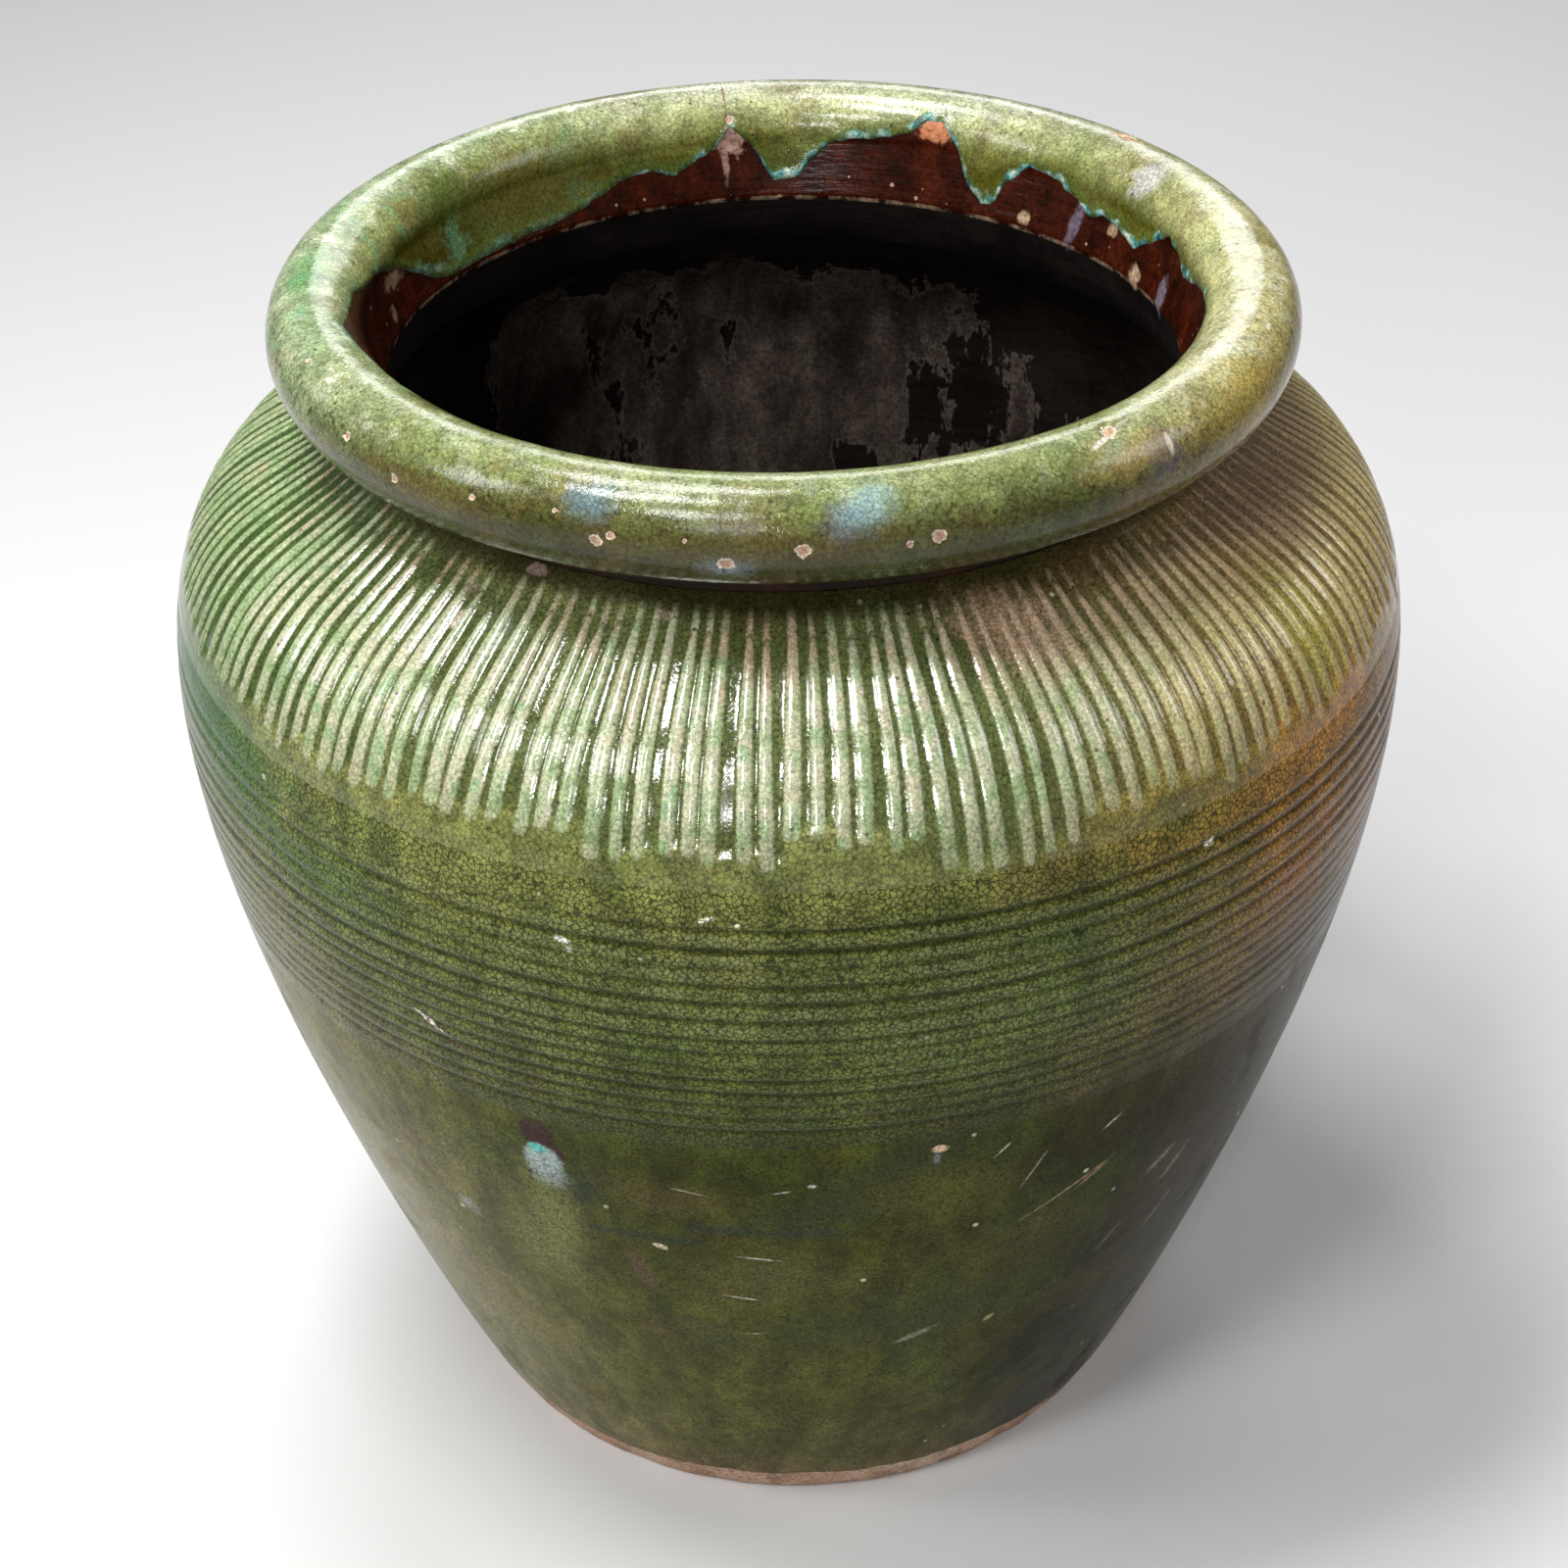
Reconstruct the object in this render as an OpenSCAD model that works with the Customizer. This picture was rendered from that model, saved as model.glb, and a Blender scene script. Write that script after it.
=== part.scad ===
// Martaban jar: a wide-mouthed, green-glazed storage jar, hand built from beaten sections.
// The sections are luted together with slip, then glazed outside and slipped inside.
// Millimetres, +Z up, origin at the centre of the flat base. Every piece is a ring about Z.

/* [Body outline] */
// Radius of the bare clay foot
foot_r = 170; // [150:1:190]
// Outward lean of the wall where it leaves the foot, in degrees
foot_lean = 40; // [25:1:48]
// Length over which that lean holds
foot_pull = 10; // [4:1:20]
// Radius of the jar at its widest
belly_r = 280; // [265:1:300]
// Height of the widest place
belly_z = 393; // [380:1:400]
// Fullness of the wall below the widest place
belly_pull_low = 132; // [110:1:150]
// Fullness of the shoulder above the widest place
belly_pull_high = 97; // [80:1:105]
// Outer radius of the neck where the shoulder meets it
crease_r = 191; // [189:0.5:194]
// Height of that crease above the widest place
shoulder_rise = 127; // [119:1:131]
// Fall of the shoulder at the crease, in degrees
shoulder_fall = 38; // [32:1:44]
// Length over which that fall holds
shoulder_pull = 54; // [40:1:64]

/* [Clay] */
// Thickness of the beaten wall
wall_t = 17; // [14:0.5:20]
// Thickness of the base slab
base_t = 24; // [18:0.5:30]
// Width and height of the coil pressed into the corner of the floor
fillet_w = 26; // [16:1:34]
// Height of the joint between the lower and the middle wall
wall_joint_z = 165; // [130:1:190]
// Drop from the lowest ring to the joint between the middle wall and the belly
belly_joint_gap = 18.8; // [8:0.2:40]
// Rise from the top ring to the joint between the belly and the shoulder
shoulder_joint_gap = 10; // [6:0.5:14]
// Rise of each bevelled joint from the outer to the inner face
bevel_rise = 9; // [4:0.5:12]
// Thickness of the slip in each joint
luting_t = 1.6; // [1:0.1:3]

/* [Neck and rim] */
// How far the rim roll's centre line lies outside the crease
rim_out = 12; // [9:0.5:14]
// Rise of that centre line above the crease
rim_rise = 35; // [33:0.5:38]
// Radius of the rim roll in section
roll_r = 22; // [20:0.5:23]
// Thickness of the neck between its narrowest place and the crease
neck_t = 16; // [14:0.5:19]
// Rise of the narrowest place above the crease
neck_rise = 10; // [6:0.5:14]
// Drop from the crease to the under edge of the neck
neck_drop = 5; // [3:0.5:7]
// How much wider the neck is at its under edge than at its narrowest
neck_flare = 3; // [1:0.5:4]

/* [Combed strokes] */
// Number of strokes round the shoulder
stroke_count = 170; // [120:1:200]
// Drop from the crease to the strokes' upper ends
stroke_gap = 11; // [6:0.5:20]
// Height that the strokes cover
stroke_h = 62; // [54:0.5:68]
// Share of each step that the cut takes
stroke_cut = 0.45; // [0.3:0.05:0.6]
// Depth of a stroke, which the glaze coat has to be thicker than
stroke_depth = 1.1; // [0.4:0.1:1.2]

/* [Incised rings] */
// Number of deep rings
deep_count = 6; // [3:1:6]
// Rise of the top deep ring above the widest place
deep_rise = 25; // [19:0.5:27]
// Step from one deep ring to the next
deep_step = 8.8; // [7:0.1:9]
// Depth of a deep ring
deep_depth = 0.9; // [0.4:0.1:1.4]
// Width of a deep ring
deep_w = 4; // [2:0.5:5]
// Number of fine rings
fine_count = 8; // [4:1:8]
// Drop from the lowest deep ring to the top fine ring
fine_gap = 10; // [8:0.5:12]
// Step from one fine ring to the next
fine_step = 7.6; // [6:0.1:8]
// Depth of a fine ring
fine_depth = 0.6; // [0.2:0.1:0.9]
// Width of a fine ring
fine_w = 3; // [1.5:0.5:4]

/* [Coats] */
// Thickness of the green glaze
glaze_t = 1.5; // [1.4:0.1:2.2]
// Height at which the glaze stops above the ground
glaze_stop_z = 16; // [8:0.5:20]
// How far the rim's glaze has run down inside, from the rim roll's centre line
drip_drop = 12; // [7:0.5:17]
// Thickness of the brown slip inside
slip_t = 0.8; // [0.5:0.1:1.5]

/* [Hidden] */
$fn = 180;

clay = "#a9745a";
clay_grey = "#8f7260";
luting = "#c2977a";
green = "#5c6b2c";
green_light = "#77854a";
brown = "#2a1712";

// Heights and radii that follow from the sizes above
crease_z = belly_z + shoulder_rise;
neck_r = crease_r - neck_t;
neck_z = crease_z + neck_rise;
neck_low_z = crease_z - neck_drop;
rim_r = crease_r + rim_out;
rim_z = crease_z + rim_rise;
drip_z = rim_z - drip_drop;
stroke_high_z = crease_z - stroke_gap;
stroke_low_z = stroke_high_z - stroke_h;
deep_top_z = belly_z + deep_rise;
fine_top_z = deep_top_z - (deep_count - 1) * deep_step - fine_gap;
belly_joint_z = fine_top_z - (fine_count - 1) * fine_step - belly_joint_gap;
shoulder_joint_z = deep_top_z + shoulder_joint_gap;

// The outline is two curves that meet at the widest place. A place on it is a number u,
// from 0 at the foot to 1 at the widest place and 2 at the crease under the neck.
low_curve = [
    [foot_r, 0],
    [foot_r + foot_pull * sin(foot_lean), foot_pull * cos(foot_lean)],
    [belly_r, belly_z - belly_pull_low],
    [belly_r, belly_z]];
high_curve = [
    [belly_r, belly_z],
    [belly_r, belly_z + belly_pull_high],
    [crease_r + shoulder_pull * cos(shoulder_fall), crease_z - shoulder_pull * sin(shoulder_fall)],
    [crease_r, crease_z]];
u_crease = 2;
u_step = 1 / 12;
u_near = 1e-6;

function curve(p, t) = pow(1 - t, 3) * p[0] + 3 * t * pow(1 - t, 2) * p[1]
    + 3 * t * t * (1 - t) * p[2] + pow(t, 3) * p[3];
function heading(p, t) = pow(1 - t, 2) * (p[1] - p[0]) + 2 * t * (1 - t) * (p[2] - p[1])
    + t * t * (p[3] - p[2]);
function outer(u) = u <= 1 ? curve(low_curve, u) : curve(high_curve, u - 1);
function outward(u) = let (h = u <= 1 ? heading(low_curve, u) : heading(high_curve, u - 1))
    [h[1], -h[0]] / norm(h);

// The point that lies d under the glazed surface at u, and the u where such a point has height z
function skin(u, d) = outer(u) - d * outward(u);
function u_at(z, d, lo = 0, hi = u_crease, n = 30) = let (mid = (lo + hi) / 2)
    n == 0 ? mid : skin(mid, d)[1] < z ? u_at(z, d, mid, hi, n - 1) : u_at(z, d, lo, mid, n - 1);

// A line of stations [u, extra depth], with further stations between the given ones
function steps(a, b) = let (n = max(1, ceil((b - a) / u_step))) [for (k = [1:n - 1]) a + (b - a) * k / n];
function fill(marks) = [for (i = [0:len(marks) - 1]) each concat([marks[i]],
    i == len(marks) - 1 ? [] : [for (u = steps(marks[i][0], marks[i + 1][0])) [u, 0]])];
function part_of(line, a, b) = [for (m = line) if (m[0] > a - u_near && m[0] < b + u_near) m];
function along(line, d) = [for (m = line) skin(m[0], d + m[1])];
function reversed(list) = [for (i = [len(list) - 1:-1:0]) list[i]];

// Incised rings from the lowest up, as [height, depth, width]
rings = reversed(concat(
    [for (i = [0:deep_count - 1]) [deep_top_z - i * deep_step, deep_depth, deep_w]],
    [for (i = [0:fine_count - 1]) [fine_top_z - i * fine_step, fine_depth, fine_w]]));
ring_marks = [for (r = rings) each [
    [u_at(r[0] - r[2] / 2, 0), 0],
    [u_at(r[0], 0), r[1]],
    [u_at(r[0] + r[2] / 2, 0), 0]]];

// Stations where the joints meet the outer and the inner face of the clay
function lips(z, d) = [u_at(z - luting_t / 2, d), u_at(z + luting_t / 2, d)];
base_out = lips(base_t + luting_t / 2, glaze_t);
base_in = lips(base_t + luting_t / 2, wall_t);
wall_out = lips(wall_joint_z, glaze_t);
wall_in = lips(wall_joint_z + bevel_rise, wall_t);
belly_out = lips(belly_joint_z, glaze_t);
belly_in = lips(belly_joint_z + bevel_rise, wall_t);
shoulder_out = lips(shoulder_joint_z, glaze_t);
shoulder_in = lips(shoulder_joint_z + bevel_rise, wall_t);
u_edge = u_at(glaze_stop_z, 0);
u_glaze_stop = u_at(glaze_stop_z, glaze_t);
u_fillet = u_at(base_t + fillet_w, wall_t);

function plain(us) = [for (u = us) [u, 0]];
outer_line = fill(concat(
    plain(concat([u_glaze_stop], base_out, wall_out, belly_out)),
    ring_marks,
    plain(concat(shoulder_out, [u_crease]))));
foot_line = fill(plain([0, u_edge]));
inner_line = fill(plain(concat(base_in, [u_fillet], wall_in, belly_in, shoulder_in, [u_crease])));

// A wall section between two joints, given as [outer, inner] stations
function section(from, to) = concat(
    along(part_of(outer_line, from[0], to[0]), glaze_t),
    reversed(along(part_of(inner_line, from[1], to[1]), wall_t)));

// Corners of the neck, and of the coil in the corner of the floor
crease_clay = skin(u_crease, glaze_t);
neck_low = [neck_r + neck_flare, neck_low_z];
neck_narrow = [neck_r, neck_z];
roll_clay_r = roll_r - glaze_t;
neck_top = [rim_r - roll_clay_r, rim_z];
drip = neck_narrow + (neck_top - neck_narrow) * (drip_z - neck_z) / (rim_z - neck_z);
corner = skin(base_in[0], wall_t);
fillet_foot = [corner[0] - fillet_w, base_t];
fillet_head = skin(u_fillet, wall_t);
fillet_hollow = 0.3;
fillet_pull = corner + fillet_hollow * fillet_w * [-1, 1];
fillet_steps = 5;
fillet_lean = [-1, 1] / sqrt(2);
function fillet_face(d) = [for (k = [1:fillet_steps - 1]) let (t = k / fillet_steps)
    pow(1 - t, 2) * fillet_foot + 2 * t * (1 - t) * fillet_pull + t * t * fillet_head + d * fillet_lean];

// The whole inner face of the clay, d inwards of it, from the floor to the drip line
function inner_face(d) = concat(
    [[0, base_t + d], fillet_foot + [0, d]],
    fillet_face(d),
    along(part_of(inner_line, u_fillet, u_crease), wall_t + d),
    [neck_low - [d, 0], neck_narrow - [d, 0], drip - [d, 0]]);

module ring_solid(outline) {
    rotate_extrude()
        polygon(outline);
}

module luting_ring(out, in) {
    color(luting)
        ring_solid(section([out[0], in[0]], [out[1], in[1]]));
}

// One comb stroke: a thin wedge that stands clear of the surface and sinks to the stroke's floor
stroke_turn = 360 / stroke_count;
stroke_taper = 5;
stroke_lift = 0.2;
stroke_clear = 2;
module comb_stroke() {
    low = u_at(stroke_low_z, 0);
    high = u_at(stroke_high_z, 0);
    top_line = fill(plain([low, high]));
    floor_line = fill(plain([
        u_at(stroke_low_z + stroke_taper, 0),
        u_at(stroke_high_z - stroke_taper / 2, 0)]));
    rotate_extrude(angle = stroke_turn * stroke_cut)
        polygon(concat(
            along(top_line, -stroke_clear),
            [skin(high, -stroke_lift)],
            reversed(along(floor_line, stroke_depth)),
            [skin(low, -stroke_lift)]));
}

module base_disc() {
    color(clay)
        ring_solid(concat(
            [[0, 0]],
            along(foot_line, 0),
            along(part_of(outer_line, u_glaze_stop, base_out[0]), glaze_t),
            [[0, base_t]]));
}

module floor_fillet_coil() {
    color(clay_grey)
        ring_solid(concat(
            [fillet_foot],
            along(part_of(inner_line, base_in[0], u_fillet), wall_t),
            reversed(fillet_face(0))));
}

module lower_wall() {
    color(clay)
        ring_solid(section([base_out[1], base_in[1]], [wall_out[0], wall_in[0]]));
}

module middle_wall() {
    color(clay_grey)
        ring_solid(section([wall_out[1], wall_in[1]], [belly_out[0], belly_in[0]]));
}

module belly_wall() {
    color(clay)
        ring_solid(section([belly_out[1], belly_in[1]], [shoulder_out[0], shoulder_in[0]]));
}

module shoulder() {
    color(clay_grey)
        ring_solid(concat(
            along(part_of(outer_line, shoulder_out[1], u_crease), glaze_t),
            [neck_low],
            reversed(along(part_of(inner_line, shoulder_in[1], u_crease), wall_t))));
}

// The collar rises from the shoulder's top edge to the centre line of the rim roll
collar_low = [neck_low + [0, luting_t], crease_clay + [0, luting_t]];
module neck_collar() {
    color(clay)
        ring_solid([collar_low[0], collar_low[1], [crease_clay[0], rim_z], neck_top, neck_narrow]);
}

module roll(r) {
    rotate_extrude()
        translate([rim_r, rim_z])
            circle(r);
}

// The space under and inside the roll that the collar and its slip fill
module collar_space(slip) {
    cylinder(h = rim_z + slip, r = crease_clay[0] + slip);
}

module rim_roll() {
    color(clay_grey)
        difference() {
            roll(roll_clay_r);
            collar_space(luting_t);
        }
}

module base_luting() {
    luting_ring(base_out, base_in);
}

module wall_luting() {
    luting_ring(wall_out, wall_in);
}

module belly_luting() {
    luting_ring(belly_out, belly_in);
}

module shoulder_luting() {
    luting_ring(shoulder_out, shoulder_in);
}

module neck_luting() {
    color(luting)
        ring_solid([neck_low, crease_clay, collar_low[1], collar_low[0]]);
}

module rim_luting() {
    color(luting)
        difference() {
            intersection() {
                roll(roll_clay_r);
                collar_space(luting_t);
            }
            collar_space(0);
        }
}

module body_glaze() {
    color(green)
        difference() {
            ring_solid(concat(
                [outer(u_edge)],
                along(part_of(outer_line, base_out[0], u_crease), 0),
                reversed(along(part_of(outer_line, u_glaze_stop, u_crease), glaze_t))));
            for (i = [0:stroke_count - 1])
                rotate(i * stroke_turn)
                    comb_stroke();
        }
}

module rim_glaze() {
    color(green_light) {
        difference() {
            roll(roll_r);
            roll(roll_clay_r);
            collar_space(0);
        }
        ring_solid([drip, neck_top, neck_top - [glaze_t, 0], drip - [glaze_t, 0]]);
    }
}

module inner_slip() {
    color(brown)
        ring_solid(concat(inner_face(0), reversed(inner_face(slip_t))));
}

base_disc();
floor_fillet_coil();
lower_wall();
middle_wall();
belly_wall();
shoulder();
neck_collar();
rim_roll();
base_luting();
wall_luting();
belly_luting();
shoulder_luting();
neck_luting();
rim_luting();
body_glaze();
rim_glaze();
inner_slip();
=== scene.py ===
import math

import bpy
import numpy as np
from mathutils import Matrix, Vector


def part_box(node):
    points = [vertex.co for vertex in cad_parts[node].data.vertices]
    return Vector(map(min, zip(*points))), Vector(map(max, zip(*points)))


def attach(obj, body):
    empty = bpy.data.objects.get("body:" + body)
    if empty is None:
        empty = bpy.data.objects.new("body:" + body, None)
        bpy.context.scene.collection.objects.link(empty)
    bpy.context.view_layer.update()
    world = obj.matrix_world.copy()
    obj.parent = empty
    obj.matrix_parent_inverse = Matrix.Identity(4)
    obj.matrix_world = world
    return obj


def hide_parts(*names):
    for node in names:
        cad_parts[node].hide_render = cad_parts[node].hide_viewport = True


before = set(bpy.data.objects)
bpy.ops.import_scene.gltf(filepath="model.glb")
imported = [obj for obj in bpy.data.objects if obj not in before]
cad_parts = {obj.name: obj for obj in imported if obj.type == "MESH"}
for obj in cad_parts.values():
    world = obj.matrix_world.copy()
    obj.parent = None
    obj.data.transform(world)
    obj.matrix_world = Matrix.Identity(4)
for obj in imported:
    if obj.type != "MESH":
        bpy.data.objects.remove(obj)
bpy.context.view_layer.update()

mm = 0.001
print("frame loaded:", len(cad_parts), "nodes")


# ---- outline, in millimetres, the same two curves as the solids have

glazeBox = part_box("body_glaze")
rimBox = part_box("rim_glaze")
outline = {
    "footRadius": 170, "footLean": 40, "footPull": 10,
    "bellyRadius": glazeBox[1].x / mm, "bellyHeight": 393, "lowPull": 132, "highPull": 97,
    "creaseRadius": 191, "creaseHeight": glazeBox[1].z / mm, "shoulderFall": 38, "shoulderPull": 54,
    "wall": 17, "baseTop": 24, "filletWidth": 26, "glaze": 1.5, "slip": 0.8,
}
rim = {"roll": 22, "neckRadius": 175, "neckHeight": 530, "neckLow": 515, "neckFlare": 3}
rim["radius"] = rimBox[1].x / mm - rim["roll"]
rim["height"] = rimBox[1].z / mm - rim["roll"]

fall = math.radians(outline["shoulderFall"])
lean = math.radians(outline["footLean"])
belly = outline["bellyRadius"]
lowCurve = np.array([
    (outline["footRadius"], 0),
    (outline["footRadius"] + outline["footPull"] * math.sin(lean), outline["footPull"] * math.cos(lean)),
    (belly, outline["bellyHeight"] - outline["lowPull"]),
    (belly, outline["bellyHeight"])])
highCurve = np.array([
    (belly, outline["bellyHeight"]),
    (belly, outline["bellyHeight"] + outline["highPull"]),
    (outline["creaseRadius"] + outline["shoulderPull"] * math.cos(fall),
     outline["creaseHeight"] - outline["shoulderPull"] * math.sin(fall)),
    (outline["creaseRadius"], outline["creaseHeight"])])


def curvePoint(p, t):
    return (1 - t) ** 3 * p[0] + 3 * t * (1 - t) ** 2 * p[1] + 3 * t * t * (1 - t) * p[2] + t ** 3 * p[3]


def curveHeading(p, t):
    return (1 - t) ** 2 * (p[1] - p[0]) + 2 * t * (1 - t) * (p[2] - p[1]) + t * t * (p[3] - p[2])


def skin(u, depth):  # radius and height, depth under the glaze's surface; u is 0 foot, 1 belly, 2 crease
    u = np.asarray(u, float)[..., None]
    low = u <= 1
    t = np.where(low, u, u - 1)
    place = np.where(low, curvePoint(lowCurve, t), curvePoint(highCurve, t))
    way = np.where(low, curveHeading(lowCurve, t), curveHeading(highCurve, t))
    way = way / np.linalg.norm(way, axis=-1, keepdims=True)
    return place - np.asarray(depth, float)[..., None] * np.stack([way[..., 1], -way[..., 0]], -1)


allStations = np.linspace(0, 2, 4001)


def stationAt(height, depth=0.0):
    return np.interp(height, skin(allStations, depth)[:, 1], allStations)


def evenStations(low, high, count):  # stations the same distance apart along the outline
    u = np.linspace(low, high, 800)
    length = np.concatenate([[0], np.cumsum(np.linalg.norm(np.diff(skin(u, 0.0), axis=0), axis=1))])
    return np.interp(np.linspace(0, length[-1], count), length, u)


# ---- seeded unevenness

lattice = np.random.default_rng(11).uniform(-1, 1, (32, 32, 32))


def softNoise(points, size):  # smooth values from -1 to 1 that change over about one size
    p = points / size
    cell = np.floor(p).astype(int)
    f = p - cell
    f = f * f * (3 - 2 * f)
    value = np.zeros(len(p))
    for corner in np.ndindex(2, 2, 2):
        at = (cell + corner) % 32
        weight = np.prod(np.where(np.array(corner) == 1, f, 1 - f), axis=1)
        value += weight * lattice[at[:, 0], at[:, 1], at[:, 2]]
    return value


def wander(azimuth, seed, waves=9):  # a closed wavy line round the jar, about -1 to 1
    dice = np.random.default_rng(seed)
    turn = np.radians(azimuth)
    value = np.zeros_like(turn)
    for k in range(1, waves + 1):
        value += dice.normal(0, 1) / k ** 0.6 * np.cos(k * turn + dice.uniform(0, 2 * math.pi))
    return value / 2.2


def ease(x):
    x = np.clip(x, 0, 1)
    return x * x * (3 - 2 * x)


def pointsOf(azimuth, radius, height):
    turn = np.radians(azimuth)
    return np.stack([radius * np.sin(turn), -radius * np.cos(turn), height], 1)


# ---- turned shells: a section is drawn point by point, then turned about Z

def turnShell(name, section, segments):  # section is a list of [radius, height]; it may end on the axis
    onAxis = abs(section[0][0]) < 1e-6
    if not onAxis:
        section = list(section) + [section[0]]
    bpy.ops.object.select_all(action="DESELECT")
    bpy.ops.mesh.primitive_plane_add(size=mm)
    shell = bpy.context.object
    shell.name = name
    shell.data.name = name
    bpy.ops.object.mode_set(mode="EDIT")
    bpy.ops.mesh.select_all(action="SELECT")
    bpy.ops.mesh.merge(type="CENTER")
    bpy.ops.transform.translate(value=(section[0][0] * mm, 0, section[0][1] * mm))
    for here, there in zip(section, section[1:]):
        step = ((there[0] - here[0]) * mm, 0, (there[1] - here[1]) * mm)
        bpy.ops.mesh.extrude_region_move(TRANSFORM_OT_translate={"value": step})
    bpy.ops.object.mode_set(mode="OBJECT")
    station = shell.data.attributes.new("station", "FLOAT", "POINT")
    order = np.arange(len(section), dtype=np.float32)
    if not onAxis:
        order[-1] = 0
    station.data.foreach_set("value", order)
    screw = shell.modifiers.new("turn", "SCREW")  # the same as a full spin, and much quicker
    screw.steps = segments
    screw.render_steps = segments
    screw.angle = 2 * math.pi
    screw.use_merge_vertices = True
    screw.merge_threshold = 1e-6
    bpy.ops.object.modifier_apply(modifier="turn")
    bpy.ops.object.mode_set(mode="EDIT")
    bpy.ops.mesh.select_all(action="SELECT")
    bpy.ops.mesh.remove_doubles(threshold=1e-6)
    bpy.ops.mesh.normals_make_consistent(inside=False)
    bpy.ops.object.mode_set(mode="OBJECT")
    return shell


def shellPlaces(shell):  # each vertex's azimuth, 0 in front and growing to the right, and its row
    count = len(shell.data.vertices)
    co = np.empty(count * 3, np.float32)
    shell.data.vertices.foreach_get("co", co)
    co = co.reshape(-1, 3).astype(float)
    row = np.empty(count, np.float32)
    shell.data.attributes["station"].data.foreach_get("value", row)
    azimuth = np.degrees(np.arctan2(co[:, 0], -co[:, 1]))
    return azimuth, np.rint(row).astype(int), np.hypot(co[:, 0], co[:, 1]) / mm, co[:, 2] / mm


def shapeShell(shell, azimuth, radius, height, masks):
    co = pointsOf(azimuth, radius, height) * mm
    shell.data.vertices.foreach_set("co", co.astype(np.float32).ravel())
    for name, values in masks.items():
        mask = shell.data.attributes.new(name, "FLOAT", "POINT")
        mask.data.foreach_set("value", values.astype(np.float32))
    shell.data.attributes.remove(shell.data.attributes["station"])
    shell.data.update()
    bpy.ops.object.select_all(action="DESELECT")
    shell.select_set(True)
    bpy.context.view_layer.objects.active = shell
    bpy.ops.object.shade_smooth_by_angle(angle=math.radians(60))


def adopt(shell, slot, *nodes):
    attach(shell, "root")
    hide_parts(*nodes)
    print(shell.name, "has", len(shell.data.polygons), "faces")


# ---- relief of the body

comb = {"strokes": 170, "lowEnd": 447, "highEnd": 514, "ridge": 0.7, "depth": 1.1,
        "endRise": 6, "tipTaper": 20, "bandLevel": 0.7, "teeth": 6, "seed": 3}
rings = {"deepTop": 418, "deepStep": 8.8, "deepCount": 6, "deepDepth": 1.05, "deepWidth": 4.2,
         "fineTop": 364, "fineStep": 7.6, "fineCount": 8, "fineDepth": 0.7, "fineWidth": 3.2,
         "wander": 1.1, "seed": 40}
beating = {"broad": 75, "broadDepth": 0.3, "close": 22, "closeDepth": 0.1}


def combRelief(azimuth, height):  # depth in mm, how much of a ridge, how much of a cut
    count = comb["strokes"]
    pitch = 360 / count
    dice = np.random.default_rng(comb["seed"])
    group = np.arange(count) // comb["teeth"]
    groupLow = dice.normal(0, 3.2, count)[group]
    shift = pitch * dice.normal(0, 0.09, count)
    slant = dice.normal(0, 0.006, count)[group] + dice.normal(0, 0.002, count)
    low = comb["lowEnd"] + groupLow + dice.normal(0, 2.2, count)
    high = comb["highEnd"] + dice.normal(0, 2.2, count)
    half = pitch * comb["ridge"] / 2 * np.clip(dice.normal(1, 0.13, count), 0.7, 1.3)
    strong = np.clip(dice.normal(0.95, 0.1, count), 0.6, 1)
    near = np.round(azimuth / pitch).astype(int)
    crest = np.zeros_like(azimuth)
    for step in (-1, 0, 1):
        k = (near + step) % count
        middle = (near + step) * pitch + shift[k] + slant[k] * (height - 480)
        taper = np.clip((high[k] - height) / comb["tipTaper"], 0, 1) ** 0.7
        wide = half[k] * (0.45 + 0.55 * taper)
        bump = np.clip(1 - ((azimuth - middle) / wide) ** 2, 0, 1)
        crest = np.maximum(crest, bump * strong[k] * ease((high[k] - height) / 9))
    groove = np.floor(azimuth / pitch).astype(int) % count
    floor = ease((height - low[groove]) / comb["endRise"])
    band = 1 - (1 - comb["bandLevel"]) * ease((height - comb["highEnd"]) / 4)
    depth = comb["depth"] * floor * (1 - crest) * band
    ridge = crest * ease((height - low[near % count] + 3) / 5)
    cut = floor * (1 - crest) * ease((comb["highEnd"] + 3 - height) / 8)
    return depth, ridge, cut


def ringRelief(azimuth, height):
    lines = [(rings["deepTop"] - i * rings["deepStep"], rings["deepDepth"], rings["deepWidth"])
             for i in range(rings["deepCount"])]
    lines += [(rings["fineTop"] - i * rings["fineStep"], rings["fineDepth"], rings["fineWidth"])
              for i in range(rings["fineCount"])]
    depth = np.zeros_like(azimuth)
    cut = np.zeros_like(azimuth)
    for i, (level, deep, wide) in enumerate(lines):
        line = level + rings["wander"] * (0.6 * wander(azimuth, rings["seed"], 4)
                                          + 0.5 * wander(azimuth, rings["seed"] + 1 + i, 12))
        strength = np.clip(0.8 + 0.35 * wander(azimuth, rings["seed"] + 50 + i, 7), 0.25, 1.05)
        groove = np.exp(-((height - line) / (wide * 0.42)) ** 2) * strength
        depth = np.maximum(depth, deep * groove)
        cut = np.maximum(cut, groove * (0.5 + 0.5 * deep / rings["deepDepth"]))
    return depth, cut


def beatenRelief(azimuth, radius, height):
    points = pointsOf(azimuth, radius, height)
    return (beating["broadDepth"] * (0.5 + 0.5 * softNoise(points, beating["broad"]))
            + beating["closeDepth"] * (0.5 + 0.5 * softNoise(points + 300, beating["close"])))


def backStations(low, high, count):
    return np.linspace(high, low, count)


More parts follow.
